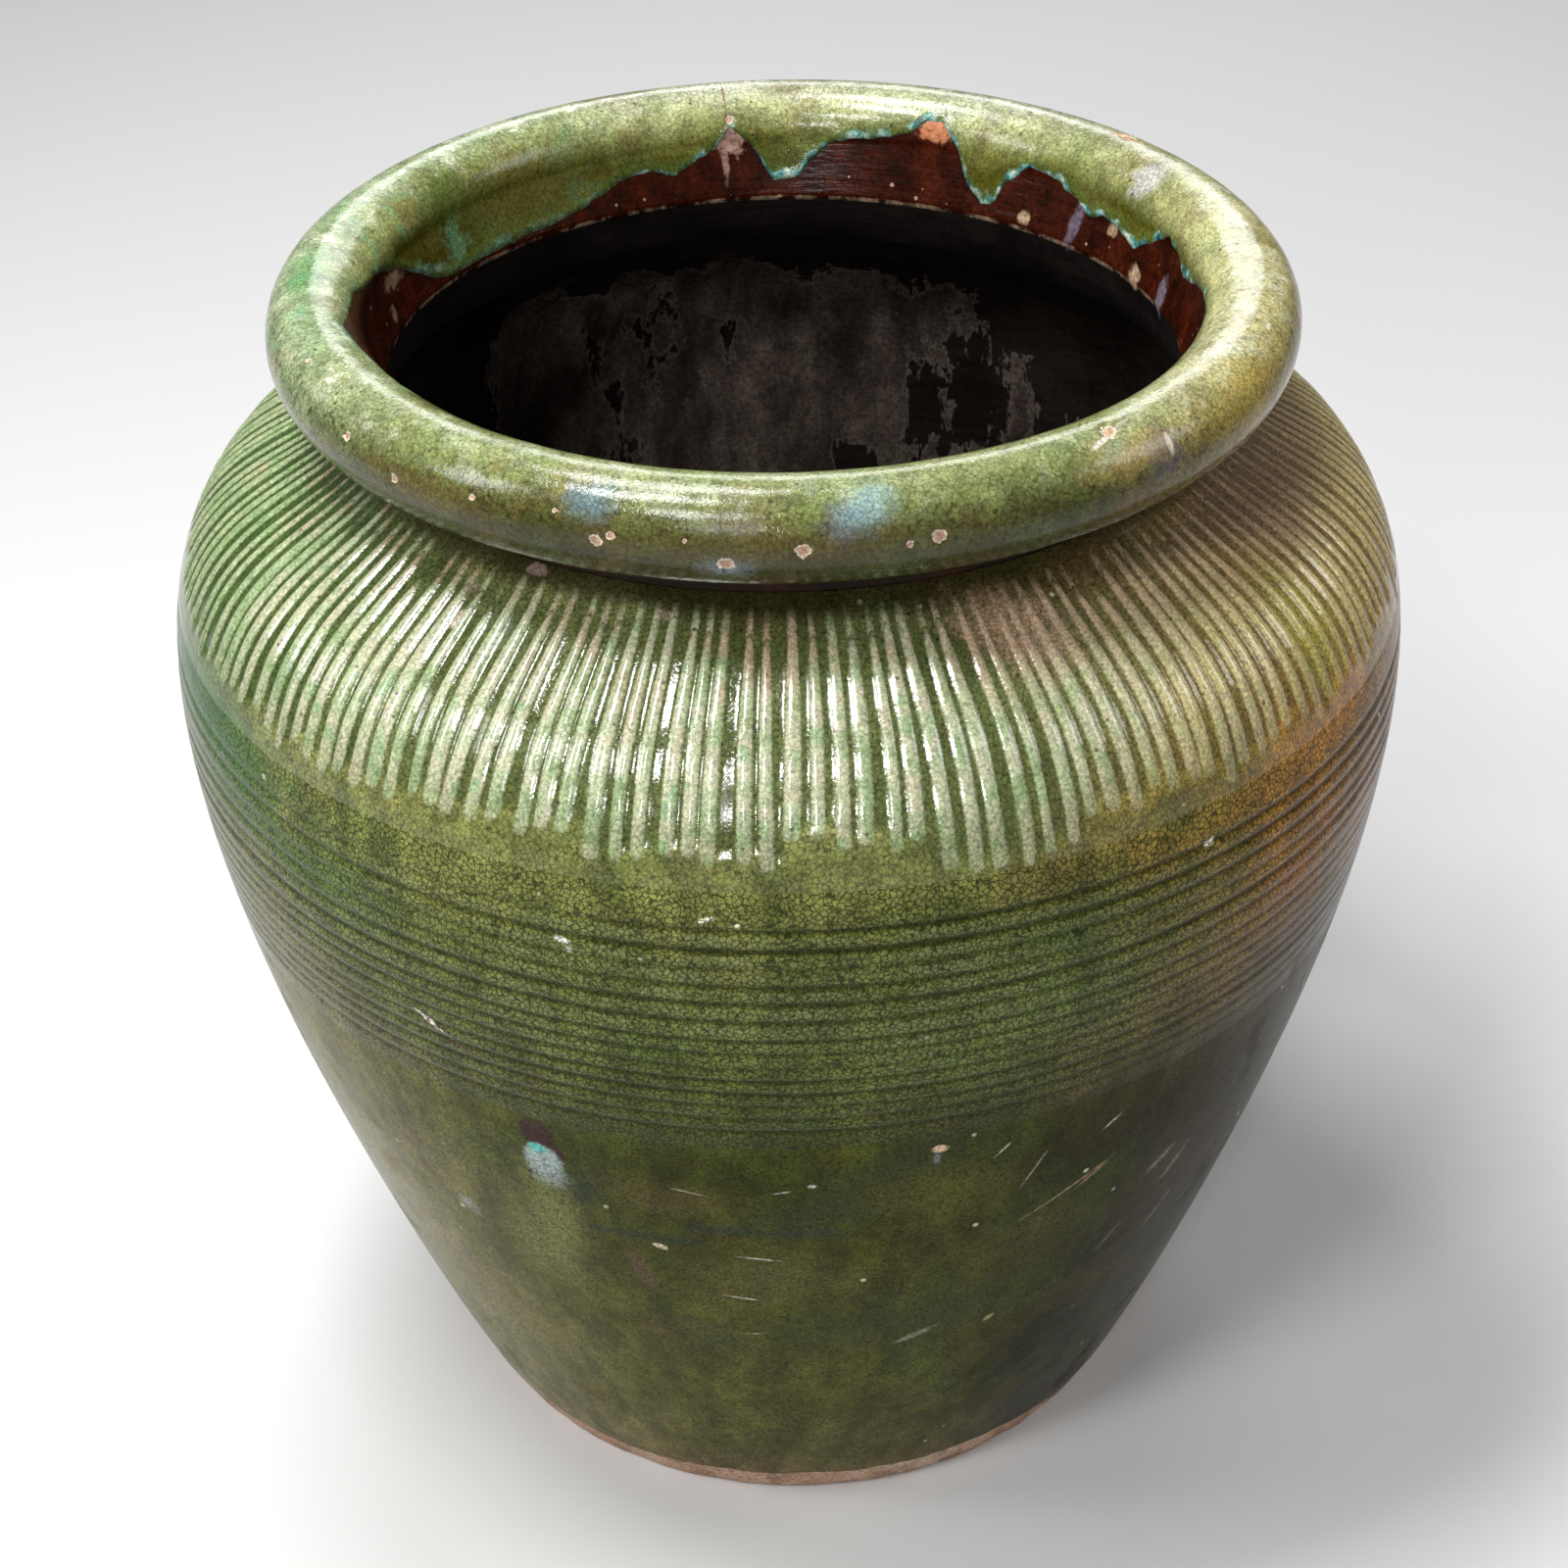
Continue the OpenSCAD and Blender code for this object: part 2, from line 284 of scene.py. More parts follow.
def bodyShell(name, lowHeight, highHeight, rows, segments, footLine=None):
    front = evenStations(stationAt(lowHeight), stationAt(highHeight), rows)
    back = backStations(front[0], front[-1], 6)
    section = list(skin(front, 0.0)) + list(skin(back, outline["glaze"] - 0.03))
    shell = turnShell(name, section, segments)
    azimuth, row, radius, height = shellPlaces(shell)
    onFront = row < rows
    u = np.concatenate([front, back])[row]
    edge = np.zeros_like(azimuth)
    if footLine is not None:  # the coat ends in a ragged line, with a rounded edge
        line = stationAt(footLine(azimuth))
        share = (front[-1] - u) / (front[-1] - front[0])
        u = front[-1] - share * (front[-1] - line)
        above = (u - line) / (front[1] - front[0]) * np.linalg.norm(skin(front[1], 0) - skin(front[0], 0))
        edge = np.clip(1 - above / 5, 0, 1)
    flat = skin(u, 0.0)
    combDepth, ridge, combCut = combRelief(azimuth, flat[:, 1])
    ringDepth, ringCut = ringRelief(azimuth, flat[:, 1])
    depth = combDepth + ringDepth + beatenRelief(azimuth, flat[:, 0], flat[:, 1])
    if footLine is not None:
        lip = np.clip(above / 2.2, 0, 1)
        depth = depth + (outline["glaze"] - 0.1 - depth) * (1 - np.sqrt(1 - (1 - lip) ** 2))
    depth = np.where(onFront, np.clip(depth, 0.0, outline["glaze"] - 0.06), outline["glaze"] - 0.03)
    place = skin(u, depth)
    shapeShell(shell, azimuth, place[:, 0], place[:, 1],
               {"ridge": ridge, "combCut": combCut, "ringCut": ringCut, "edge": edge})
    return shell


bodyParts = {"combLow": 435, "ringLow": 300, "footLine": 16}


def footLine(azimuth):  # where the glaze ends above the ground
    place = pointsOf(azimuth, 180.0, np.zeros_like(azimuth))
    lip = 4.0 * np.exp(-((azimuth - 46) / 3.2) ** 2)
    return (bodyParts["footLine"] + 1.6 * wander(azimuth, 90, 14) + 1.1 * softNoise(place, 9.0)
            + 0.5 * softNoise(place, 3.0) - lip)


combedShoulder = bodyShell("combedShoulder", bodyParts["combLow"], outline["creaseHeight"], 62, 1360)
adopt(combedShoulder, "green_glaze", "body_glaze")
ringedBelly = bodyShell("ringedBelly", bodyParts["ringLow"], bodyParts["combLow"], 122, 740)
adopt(ringedBelly, "green_glaze", "body_glaze")
lowerGlaze = bodyShell("lowerGlaze", bodyParts["footLine"], bodyParts["ringLow"], 130, 640, footLine)
adopt(lowerGlaze, "green_glaze", "body_glaze")


# ---- the rim: a rolled coat whose inner edge has run down the neck in drips

rimCoat = {"segments": 900, "outerRows": 60, "innerRows": 34, "backRows": 12,
           "start": -126, "bead": 0.35, "lip": 2.4}
# The lower edge of the rim's glaze inside, as azimuth and height
drips = [(-180, 537), (-179, 536), (-177, 546), (-175, 556), (-172.4, 562), (-170, 552), (-166, 546),
         (-163.5, 542), (-159, 546), (-154, 543), (-148, 536), (-141, 532), (-128, 530), (-118, 531),
         (-111, 541), (-106, 551), (-102, 555), (-98, 558), (-87, 566), (-73, 573), (-50, 569), (-28, 563),
         (-14, 551), (0, 558), (13, 547), (30, 560), (55, 565), (78, 563), (87, 559), (99, 549), (106.5, 558),
         (110, 552), (115, 542), (123, 548), (127, 544), (130, 550), (136, 556), (139.5, 557), (143.5, 546),
         (145, 536), (147, 535), (150, 542), (152.5, 559), (155.4, 568), (157.7, 567.6), (160, 561.5),
         (164, 558), (170, 555.5), (172.6, 553), (175, 546), (177, 539), (180, 537)]
chips = [(-52, 24, 2.6), (-43.6, 7, 2.2), (-33, 20, 1.6), (-23.5, 27, 1.6), (-19, 3, 2.8), (-17.5, 11, 2.2),
         (-10, 13, 1.2), (-6, -12, 3.6), (1.5, 4, 3.6), (12, 3, 1.8), (15, 7, 3.4), (128, 78, 4.5),
         (37, 74, 4.0), (-66, 60, 1.8), (-172.4, 150, 2.2)]
rollAngle = 180 / (math.pi * rim["roll"])  # degrees of the roll for each mm along it


def dripLine(azimuth):
    line = np.interp(azimuth, [d[0] for d in drips], [d[1] for d in drips])
    place = pointsOf(azimuth, 180.0, np.zeros_like(azimuth))
    return np.clip(line + 1.0 * softNoise(place, 6.0) + 0.5 * softNoise(place, 2.5), 530.5, 574)


def insideLength(height):  # distance along the inside from the roll's crest down to a height
    up = np.clip((height - rim["height"]) / rim["roll"], 0, 1)
    quarter = rim["roll"] * math.pi / 2
    drop = np.clip(rim["height"] - height, 0, None)
    return quarter - rim["roll"] * np.arcsin(up) + drop


def rimPoint(along, depth):  # along is mm from the crest: negative outside, positive inside the mouth
    quarter = rim["roll"] * math.pi / 2
    turn = math.pi / 2 + np.minimum(along, quarter) / rim["roll"]
    roll = rim["roll"] - depth
    radius = rim["radius"] + roll * np.cos(turn)
    height = rim["height"] + roll * np.sin(turn)
    drop = np.clip(along - quarter, 0, None)
    clayTop = rim["radius"] - rim["roll"] + outline["glaze"]
    slope = (clayTop - rim["neckRadius"]) / (rim["height"] - rim["neckHeight"])
    return radius - slope * drop, height - drop


def makeRimGlaze():
    quarter = rim["roll"] * math.pi / 2
    start = -(90 - rimCoat["start"]) / rollAngle
    outer = np.linspace(start, 0, rimCoat["outerRows"])
    inner = np.linspace(0, 1, rimCoat["innerRows"] + 1)[1:] ** 0.85
    back = np.linspace(1, 0, rimCoat["backRows"])
    full = insideLength(np.array(532.0))
    alongFront = np.concatenate([outer, inner * full])
    alongBack = start + back * (full - start)
    front = np.stack(rimPoint(alongFront, 0.0), 1)
    behind = np.stack(rimPoint(alongBack, outline["glaze"] - 0.04), 1)
    shell = turnShell("rimGlaze", list(front) + list(behind), rimCoat["segments"])
    azimuth, row, radius, height = shellPlaces(shell)
    rows = len(alongFront)
    onFront = row < rows
    lineEnd = insideLength(dripLine(azimuth))
    along = np.concatenate([alongFront, alongBack])[row]
    along = np.where(onFront, np.where(along > 0, along / full * lineEnd, along),
                     start + (along - start) / (full - start) * (lineEnd - start))
    toEdge = lineEnd - along
    tube = 90 + along * rollAngle
    r, z = rimPoint(along, 0.0)
    points = pointsOf(azimuth, r, z)
    depth = 0.25 + 0.22 * softNoise(points, 60.0) + 0.1 * softNoise(points + 200, 17.0)
    bead = np.exp(-((toEdge - 3.2) / 2.0) ** 2) * (along > 0)
    depth = depth + 0.35 - rimCoat["bead"] * bead
    # the thin upper edge under the crest outside, and the chips
    chip = np.zeros_like(azimuth)  # 0 away from the chips, 1 at the middle of one, 0.5 along its edge
    for chipAzimuth, chipTube, size in chips:
        offAz = (azimuth - chipAzimuth + 180) % 360 - 180
        away = np.hypot(np.radians(offAz) * r, (tube - chipTube) / rollAngle)
        depth = depth + 0.75 * ease((size - away) / 1.2 + 0.5)
        chip = np.maximum(chip, np.clip(1 - 0.5 * away / size, 0, 1))
    lip = np.clip(toEdge / rimCoat["lip"], 0, 1)
    thin = outline["glaze"] - 0.08
    depth = np.clip(depth, 0.0, thin)
    depth = depth + (thin - depth) * (1 - np.sqrt(1 - (1 - lip) ** 2))
    startLip = np.clip((along - start) / 2.0, 0, 1)
    depth = depth + (thin - depth) * (1 - np.sqrt(1 - (1 - startLip) ** 2))
    depth = np.where(onFront, depth, outline["glaze"] - 0.04)
    r, z = rimPoint(along, depth)
    edge = np.where(along > 0, np.clip(1 - toEdge / 9, 0, 1), 0)
    shapeShell(shell, azimuth, r, z, {"edge": edge, "chip": chip})
    return shell


rimGlaze = makeRimGlaze()
adopt(rimGlaze, "green_glaze", "rim_glaze")


# ---- brown slip lining: floor, corner, walls, neck and the inner side of the roll

lining = {"segments": 480, "wallRows": 96, "topAlong": 3, "unevenness": 0.8}


def liningPath(depth, wallRows, floorRows, neckRows):
    onWall = outline["wall"] + depth
    cornerStation = stationAt(outline["baseTop"] + outline["slip"], outline["wall"])
    corner = skin(cornerStation, outline["wall"])
    width = outline["filletWidth"]
    foot = corner + np.array([-width, 0.0])
    foot[1] = outline["baseTop"] + depth
    head = skin(stationAt(outline["baseTop"] + width, outline["wall"]), onWall)
    pull = corner + 0.3 * width * np.array([-1.0, 1.0])
    path = [np.array([x, outline["baseTop"] + depth]) for x in np.linspace(0, foot[0], floorRows)]
    for t in np.linspace(0, 1, 10)[1:-1]:
        path.append((1 - t) ** 2 * foot + 2 * t * (1 - t) * pull + t * t * head)
    for u in evenStations(stationAt(outline["baseTop"] + width, outline["wall"]), 2, wallRows):
        path.append(skin(u, onWall))
    thick = 0.4 * depth / outline["slip"]  # the neck has a thinner coat, below the rim's glaze
    low = np.array([rim["neckRadius"] + rim["neckFlare"] - thick, rim["neckLow"]])
    narrow = np.array([rim["neckRadius"] - thick, rim["neckHeight"]])
    top = np.array(rimPoint(np.array(rim["roll"] * math.pi / 2), outline["glaze"] - thick))
    path[-1] = np.array([path[-1][0], min(path[-1][1], rim["neckLow"] - 4)])
    for start, end, rows in ((low, narrow, 8), (narrow, top, neckRows)):
        for t in np.linspace(0, 1, rows + 1)[:-1]:
            path.append(start + (end - start) * t)
    for along in np.linspace(rim["roll"] * math.pi / 2, lining["topAlong"], neckRows + 4):
        path.append(np.array(rimPoint(along, outline["glaze"] - thick)))
    return path


def makeInnerSlip():
    front = liningPath(outline["slip"], lining["wallRows"], 10, 18)
    back = liningPath(0.02, 16, 3, 3)
    shell = turnShell("innerSlip", front + back[::-1], lining["segments"])
    azimuth, row, radius, height = shellPlaces(shell)
    points = pointsOf(azimuth, radius, height)
    onWall = (row < len(front)) & (height < rim["neckLow"] - 2) & (height > outline["baseTop"] + 0.2)
    fade = ease((rim["neckLow"] - 2 - height) / 20) * ease((height - outline["baseTop"]) / 20)
    ripple = 0.35 * wander(height * 1.6, 77, 30)  # low finger ridges round the wall
    inward = lining["unevenness"] * (0.8 + softNoise(points, 70.0) + 0.3 * softNoise(points, 18.0) + ripple)
    radius = np.where(onWall, radius - fade * np.clip(inward, 0, 2.5), radius)
    shapeShell(shell, azimuth, radius, height, {})
    return shell


innerSlip = makeInnerSlip()
adopt(innerSlip, "brown_slip", "inner_slip")


# ---- bare clay foot, worn along its lower edge

foot = {"segments": 640, "sunk": 0.85, "chamfer": 2.2, "wear": 1.3}


def makeFootClay():
    low = evenStations(0.0, stationAt(23.2, outline["glaze"]), 20)
    side = [skin(u, foot["sunk"]) for u in low]
    side = [s for s in side if s[1] > foot["chamfer"]]
    edge = side[0][0] - 0.4
    under = [(x, 0.0) for x in np.linspace(0, edge - foot["chamfer"], 16)]
    bevel = [(edge - foot["chamfer"] * (1 - math.sin(a)), foot["chamfer"] * (1 - math.cos(a)))
             for a in np.radians([30, 60, 90])]
    top = [(x, outline["baseTop"] - 0.05) for x in np.linspace(side[-1][0] - 1.2, 0, 5)]
    shell = turnShell("footClay", under + bevel + [tuple(s) for s in side] + top, foot["segments"])
    azimuth, row, radius, height = shellPlaces(shell)
    points = pointsOf(azimuth, radius, height)
    onSide = (row >= len(under)) & (row < len(under) + len(bevel) + len(side))
    worn = ease((6 - height) / 6) * np.clip(softNoise(points, 14.0) + 0.4 * softNoise(points, 5.0) - 0.1, 0, 1)
    rough = 0.25 * (0.5 + 0.5 * softNoise(points, 4.0)) + foot["wear"] * worn
    radius = np.where(onSide, radius - rough, radius)
    radius = np.where(onSide & (height > 19), np.minimum(radius, skin(stationAt(height), 1.48)[:, 0]), radius)
    hollow = 0.5 * ease((150 - radius) / 40)  # the base is a touch hollow in its middle
    height = np.where(row < len(under), hollow, height)
    shapeShell(shell, azimuth, radius, height, {})
    return shell


footClay = makeFootClay()
adopt(footClay, "clay", "base_disc")


# ---- node helpers

def tone(code):  # an sRGB colour as written, for a linear socket
    values = [int(code[i:i + 2], 16) / 255 for i in (0, 2, 4)]
    return tuple(v / 12.92 if v <= 0.04045 else ((v + 0.055) / 1.055) ** 2.4 for v in values) + (1.0,)


def feed(tree, socket, value):
    if isinstance(value, bpy.types.NodeSocket):
        tree.links.new(value, socket)
    else:
        socket.default_value = value


def put(tree, kind, settings=None, inputs=None):
    node = tree.nodes.new(kind)
    for key, value in (settings or {}).items():
        setattr(node, key, value)
    for key, value in (inputs or {}).items():
        feed(tree, node.inputs[key], value)
    return node


def calc(tree, operation, a, b=None, c=None):
    values = {i: v for i, v in enumerate((a, b, c)) if v is not None}
    return put(tree, "ShaderNodeMath", {"operation": operation}, values).outputs[0]


def spread(tree, value, low, high, outLow=0.0, outHigh=1.0, soft=True):
    node = put(tree, "ShaderNodeMapRange", {"interpolation_type": "SMOOTHSTEP" if soft else "LINEAR"},
               {"Value": value, "From Min": low, "From Max": high, "To Min": outLow, "To Max": outHigh})
    return node.outputs["Result"]


def blendTone(tree, mask, under, over, mode="MIX"):
    node = put(tree, "ShaderNodeMix", {"data_type": "RGBA", "blend_type": mode})
    feed(tree, node.inputs[0], mask)
    feed(tree, node.inputs[6], under)
    feed(tree, node.inputs[7], over)
    return node.outputs[2]


def ramp(tree, value, stops):
    node = put(tree, "ShaderNodeValToRGB", None, {"Fac": value})
    band = node.color_ramp
    while len(band.elements) < len(stops):
        band.elements.new(0.5)
    for element, (position, code) in zip(band.elements, stops):
        element.position = position
        element.color = tone(code)
    return node.outputs["Color"]


def noise(tree, place, size, detail=3.0, roughness=0.5, distortion=0.0):  # size in metres
    node = put(tree, "ShaderNodeTexNoise", {"noise_dimensions": "3D"},
               {"Vector": place, "Scale": 1 / size, "Detail": detail, "Roughness": roughness,
                "Distortion": distortion})
    return node.outputs["Fac"]


def attribute(tree, name):
    return put(tree, "ShaderNodeAttribute", {"attribute_name": name}).outputs["Fac"]


def newGroup(name, inputs, outputs):
    tree = bpy.data.node_groups.new(name, "ShaderNodeTree")
    for label, kind, value in inputs:
        socket = tree.interface.new_socket(name=label, in_out="INPUT", socket_type="NodeSocket" + kind)
        if value is not None:
            socket.default_value = value
    for label, kind in outputs:
        tree.interface.new_socket(name=label, in_out="OUTPUT", socket_type="NodeSocket" + kind)
    return tree, tree.nodes.new("NodeGroupInput").outputs, tree.nodes.new("NodeGroupOutput").inputs


def useGroup(tree, group, inputs=None):
    return put(tree, "ShaderNodeGroup", {"node_tree": group}, inputs).outputs


# ---- shared effects

placeGroup, given, result = newGroup("placeOnJar", [], [
    ("Place", "Vector"), ("Azimuth", "Float"), ("Height", "Float"), ("Radius", "Float"), ("Tube", "Float")])
place = put(placeGroup, "ShaderNodeTexCoord").outputs["Object"]
split = put(placeGroup, "ShaderNodeSeparateXYZ", None, {0: place}).outputs
azimuthTurn = calc(placeGroup, "ARCTAN2", split[0], calc(placeGroup, "MULTIPLY", split[1], -1.0))
flatLength = calc(placeGroup, "SQRT", calc(placeGroup, "ADD", calc(placeGroup, "MULTIPLY", split[0], split[0]),
                                           calc(placeGroup, "MULTIPLY", split[1], split[1])))
radiusOut = calc(placeGroup, "DIVIDE", flatLength, mm)
heightOut = calc(placeGroup, "DIVIDE", split[2], mm)
tubeTurn = calc(placeGroup, "ARCTAN2", calc(placeGroup, "SUBTRACT", heightOut, rim["height"]),
                calc(placeGroup, "SUBTRACT", radiusOut, rim["radius"]))
for label, value in (("Place", place), ("Azimuth", calc(placeGroup, "DEGREES", azimuthTurn)),
                     ("Height", heightOut), ("Radius", radiusOut), ("Tube", calc(placeGroup, "DEGREES", tubeTurn))):
    feed(placeGroup, result[label], value)

# A ragged oval patch at an azimuth and height, with its length, width and tilt
markGroup, given, result = newGroup("mark", [
    ("Azimuth", "Float", 0.0), ("Height", "Float", 0.0), ("Radius", "Float", 200.0), ("Warp", "Float", 0.5),
    ("At Azimuth", "Float", 0.0), ("At Height", "Float", 0.0), ("Length", "Float", 10.0), ("Width", "Float", 5.0),
    ("Tilt", "Float", 0.0), ("Softness", "Float", 0.3), ("Raggedness", "Float", 0.5)], [("Mask", "Float")])
turned = put(markGroup, "ShaderNodeMath", {"operation": "WRAP"},
             {0: calc(markGroup, "SUBTRACT", given["Azimuth"], given["At Azimuth"]), 1: 180.0, 2: -180.0}).outputs[0]
across = calc(markGroup, "MULTIPLY", calc(markGroup, "RADIANS", turned), given["Radius"])
upward = calc(markGroup, "SUBTRACT", given["Height"], given["At Height"])
tilt = calc(markGroup, "RADIANS", given["Tilt"])
cosine = calc(markGroup, "COSINE", tilt)
sine = calc(markGroup, "SINE", tilt)
alongMark = calc(markGroup, "ADD", calc(markGroup, "MULTIPLY", across, cosine),
                 calc(markGroup, "MULTIPLY", upward, sine))
overMark = calc(markGroup, "SUBTRACT", calc(markGroup, "MULTIPLY", upward, cosine),
                calc(markGroup, "MULTIPLY", across, sine))
alongShare = calc(markGroup, "DIVIDE", alongMark, given["Length"])
overShare = calc(markGroup, "DIVIDE", overMark, given["Width"])
reach = calc(markGroup, "SQRT", calc(markGroup, "ADD", calc(markGroup, "MULTIPLY", alongShare, alongShare),
                                     calc(markGroup, "MULTIPLY", overShare, overShare)))
ragged = calc(markGroup, "MULTIPLY", calc(markGroup, "SUBTRACT", given["Warp"], 0.5), given["Raggedness"])
reach = calc(markGroup, "ADD", reach, calc(markGroup, "MULTIPLY", ragged, 2.0))
feed(markGroup, result["Mask"], spread(markGroup, reach, calc(markGroup, "ADD", 1.0, given["Softness"]),
                                       calc(markGroup, "SUBTRACT", 1.0, given["Softness"])))

# Fine closed cracks in the glaze
crackleGroup, given, result = newGroup("crackle", [
    ("Place", "Vector", None), ("Size", "Float", 0.002), ("Width", "Float", 0.08)], [("Mask", "Float")])
bent = put(crackleGroup, "ShaderNodeTexNoise", None, {"Vector": given["Place"], "Scale": 300.0, "Detail": 1.0})
shiftBy = put(crackleGroup, "ShaderNodeVectorMath", {"operation": "SCALE"},
              {0: bent.outputs["Color"], "Scale": 0.0016}).outputs[0]
moved = put(crackleGroup, "ShaderNodeVectorMath", {"operation": "ADD"}, {0: given["Place"], 1: shiftBy}).outputs[0]
cells = put(crackleGroup, "ShaderNodeTexVoronoi", {"feature": "DISTANCE_TO_EDGE"},
            {"Vector": moved, "Scale": calc(crackleGroup, "DIVIDE", 1.0, given["Size"])}).outputs["Distance"]
feed(crackleGroup, result["Mask"], spread(crackleGroup, cells, given["Width"], 0.0))

# Scattered small specks
speckGroup, given, result = newGroup("specks", [
    ("Place", "Vector", None), ("Size", "Float", 0.002), ("Share", "Float", 0.3), ("Chance", "Float", 1.0)],
    [("Mask", "Float")])
dots = put(speckGroup, "ShaderNodeTexVoronoi", {"feature": "F1"},
           {"Vector": given["Place"], "Scale": calc(speckGroup, "DIVIDE", 1.0, given["Size"])})
dotDice = put(speckGroup, "ShaderNodeSeparateColor", None, {0: dots.outputs["Color"]}).outputs
dotReach = calc(speckGroup, "MULTIPLY", dotDice[0], given["Share"])
dotMask = spread(speckGroup, calc(speckGroup, "SUBTRACT", dots.outputs["Distance"], dotReach), 0.05, -0.03)
feed(speckGroup, result["Mask"], calc(speckGroup, "MULTIPLY", dotMask,
                                      calc(speckGroup, "LESS_THAN", dotDice[1], given["Chance"])))


def dim(tree, color, value):  # the colour times a value, which may be over 1
    return put(tree, "ShaderNodeVectorMath", {"operation": "SCALE"}, {0: color, "Scale": value}).outputs[0]


def newMaterial(name):
    material = bpy.data.materials.new(name)
    material.use_nodes = True
    tree = material.node_tree
    return material, tree, tree.nodes["Principled BSDF"]


def addMarks(tree, color, rough, where, warp, marks, height):
    for mark in marks:
        mask = useGroup(tree, markGroup, {
            "Azimuth": where["Azimuth"], "Height": height, "Radius": where["Radius"], "Warp": warp,
            "At Azimuth": mark["at"][0], "At Height": mark["at"][1], "Length": mark["size"][0],
            "Width": mark["size"][1], "Tilt": mark.get("tilt", 0.0), "Softness": mark.get("soft", 0.35),
            "Raggedness": mark.get("ragged", 0.5)})["Mask"]
        color = blendTone(tree, calc(tree, "MULTIPLY", mask, mark.get("much", 0.8)), color, tone(mark["tone"]))
        if "rough" in mark:
            rough = spread(tree, mask, 0.0, 1.0, rough, mark["rough"], soft=False)
    return color, rough


# ---- green glaze of the body

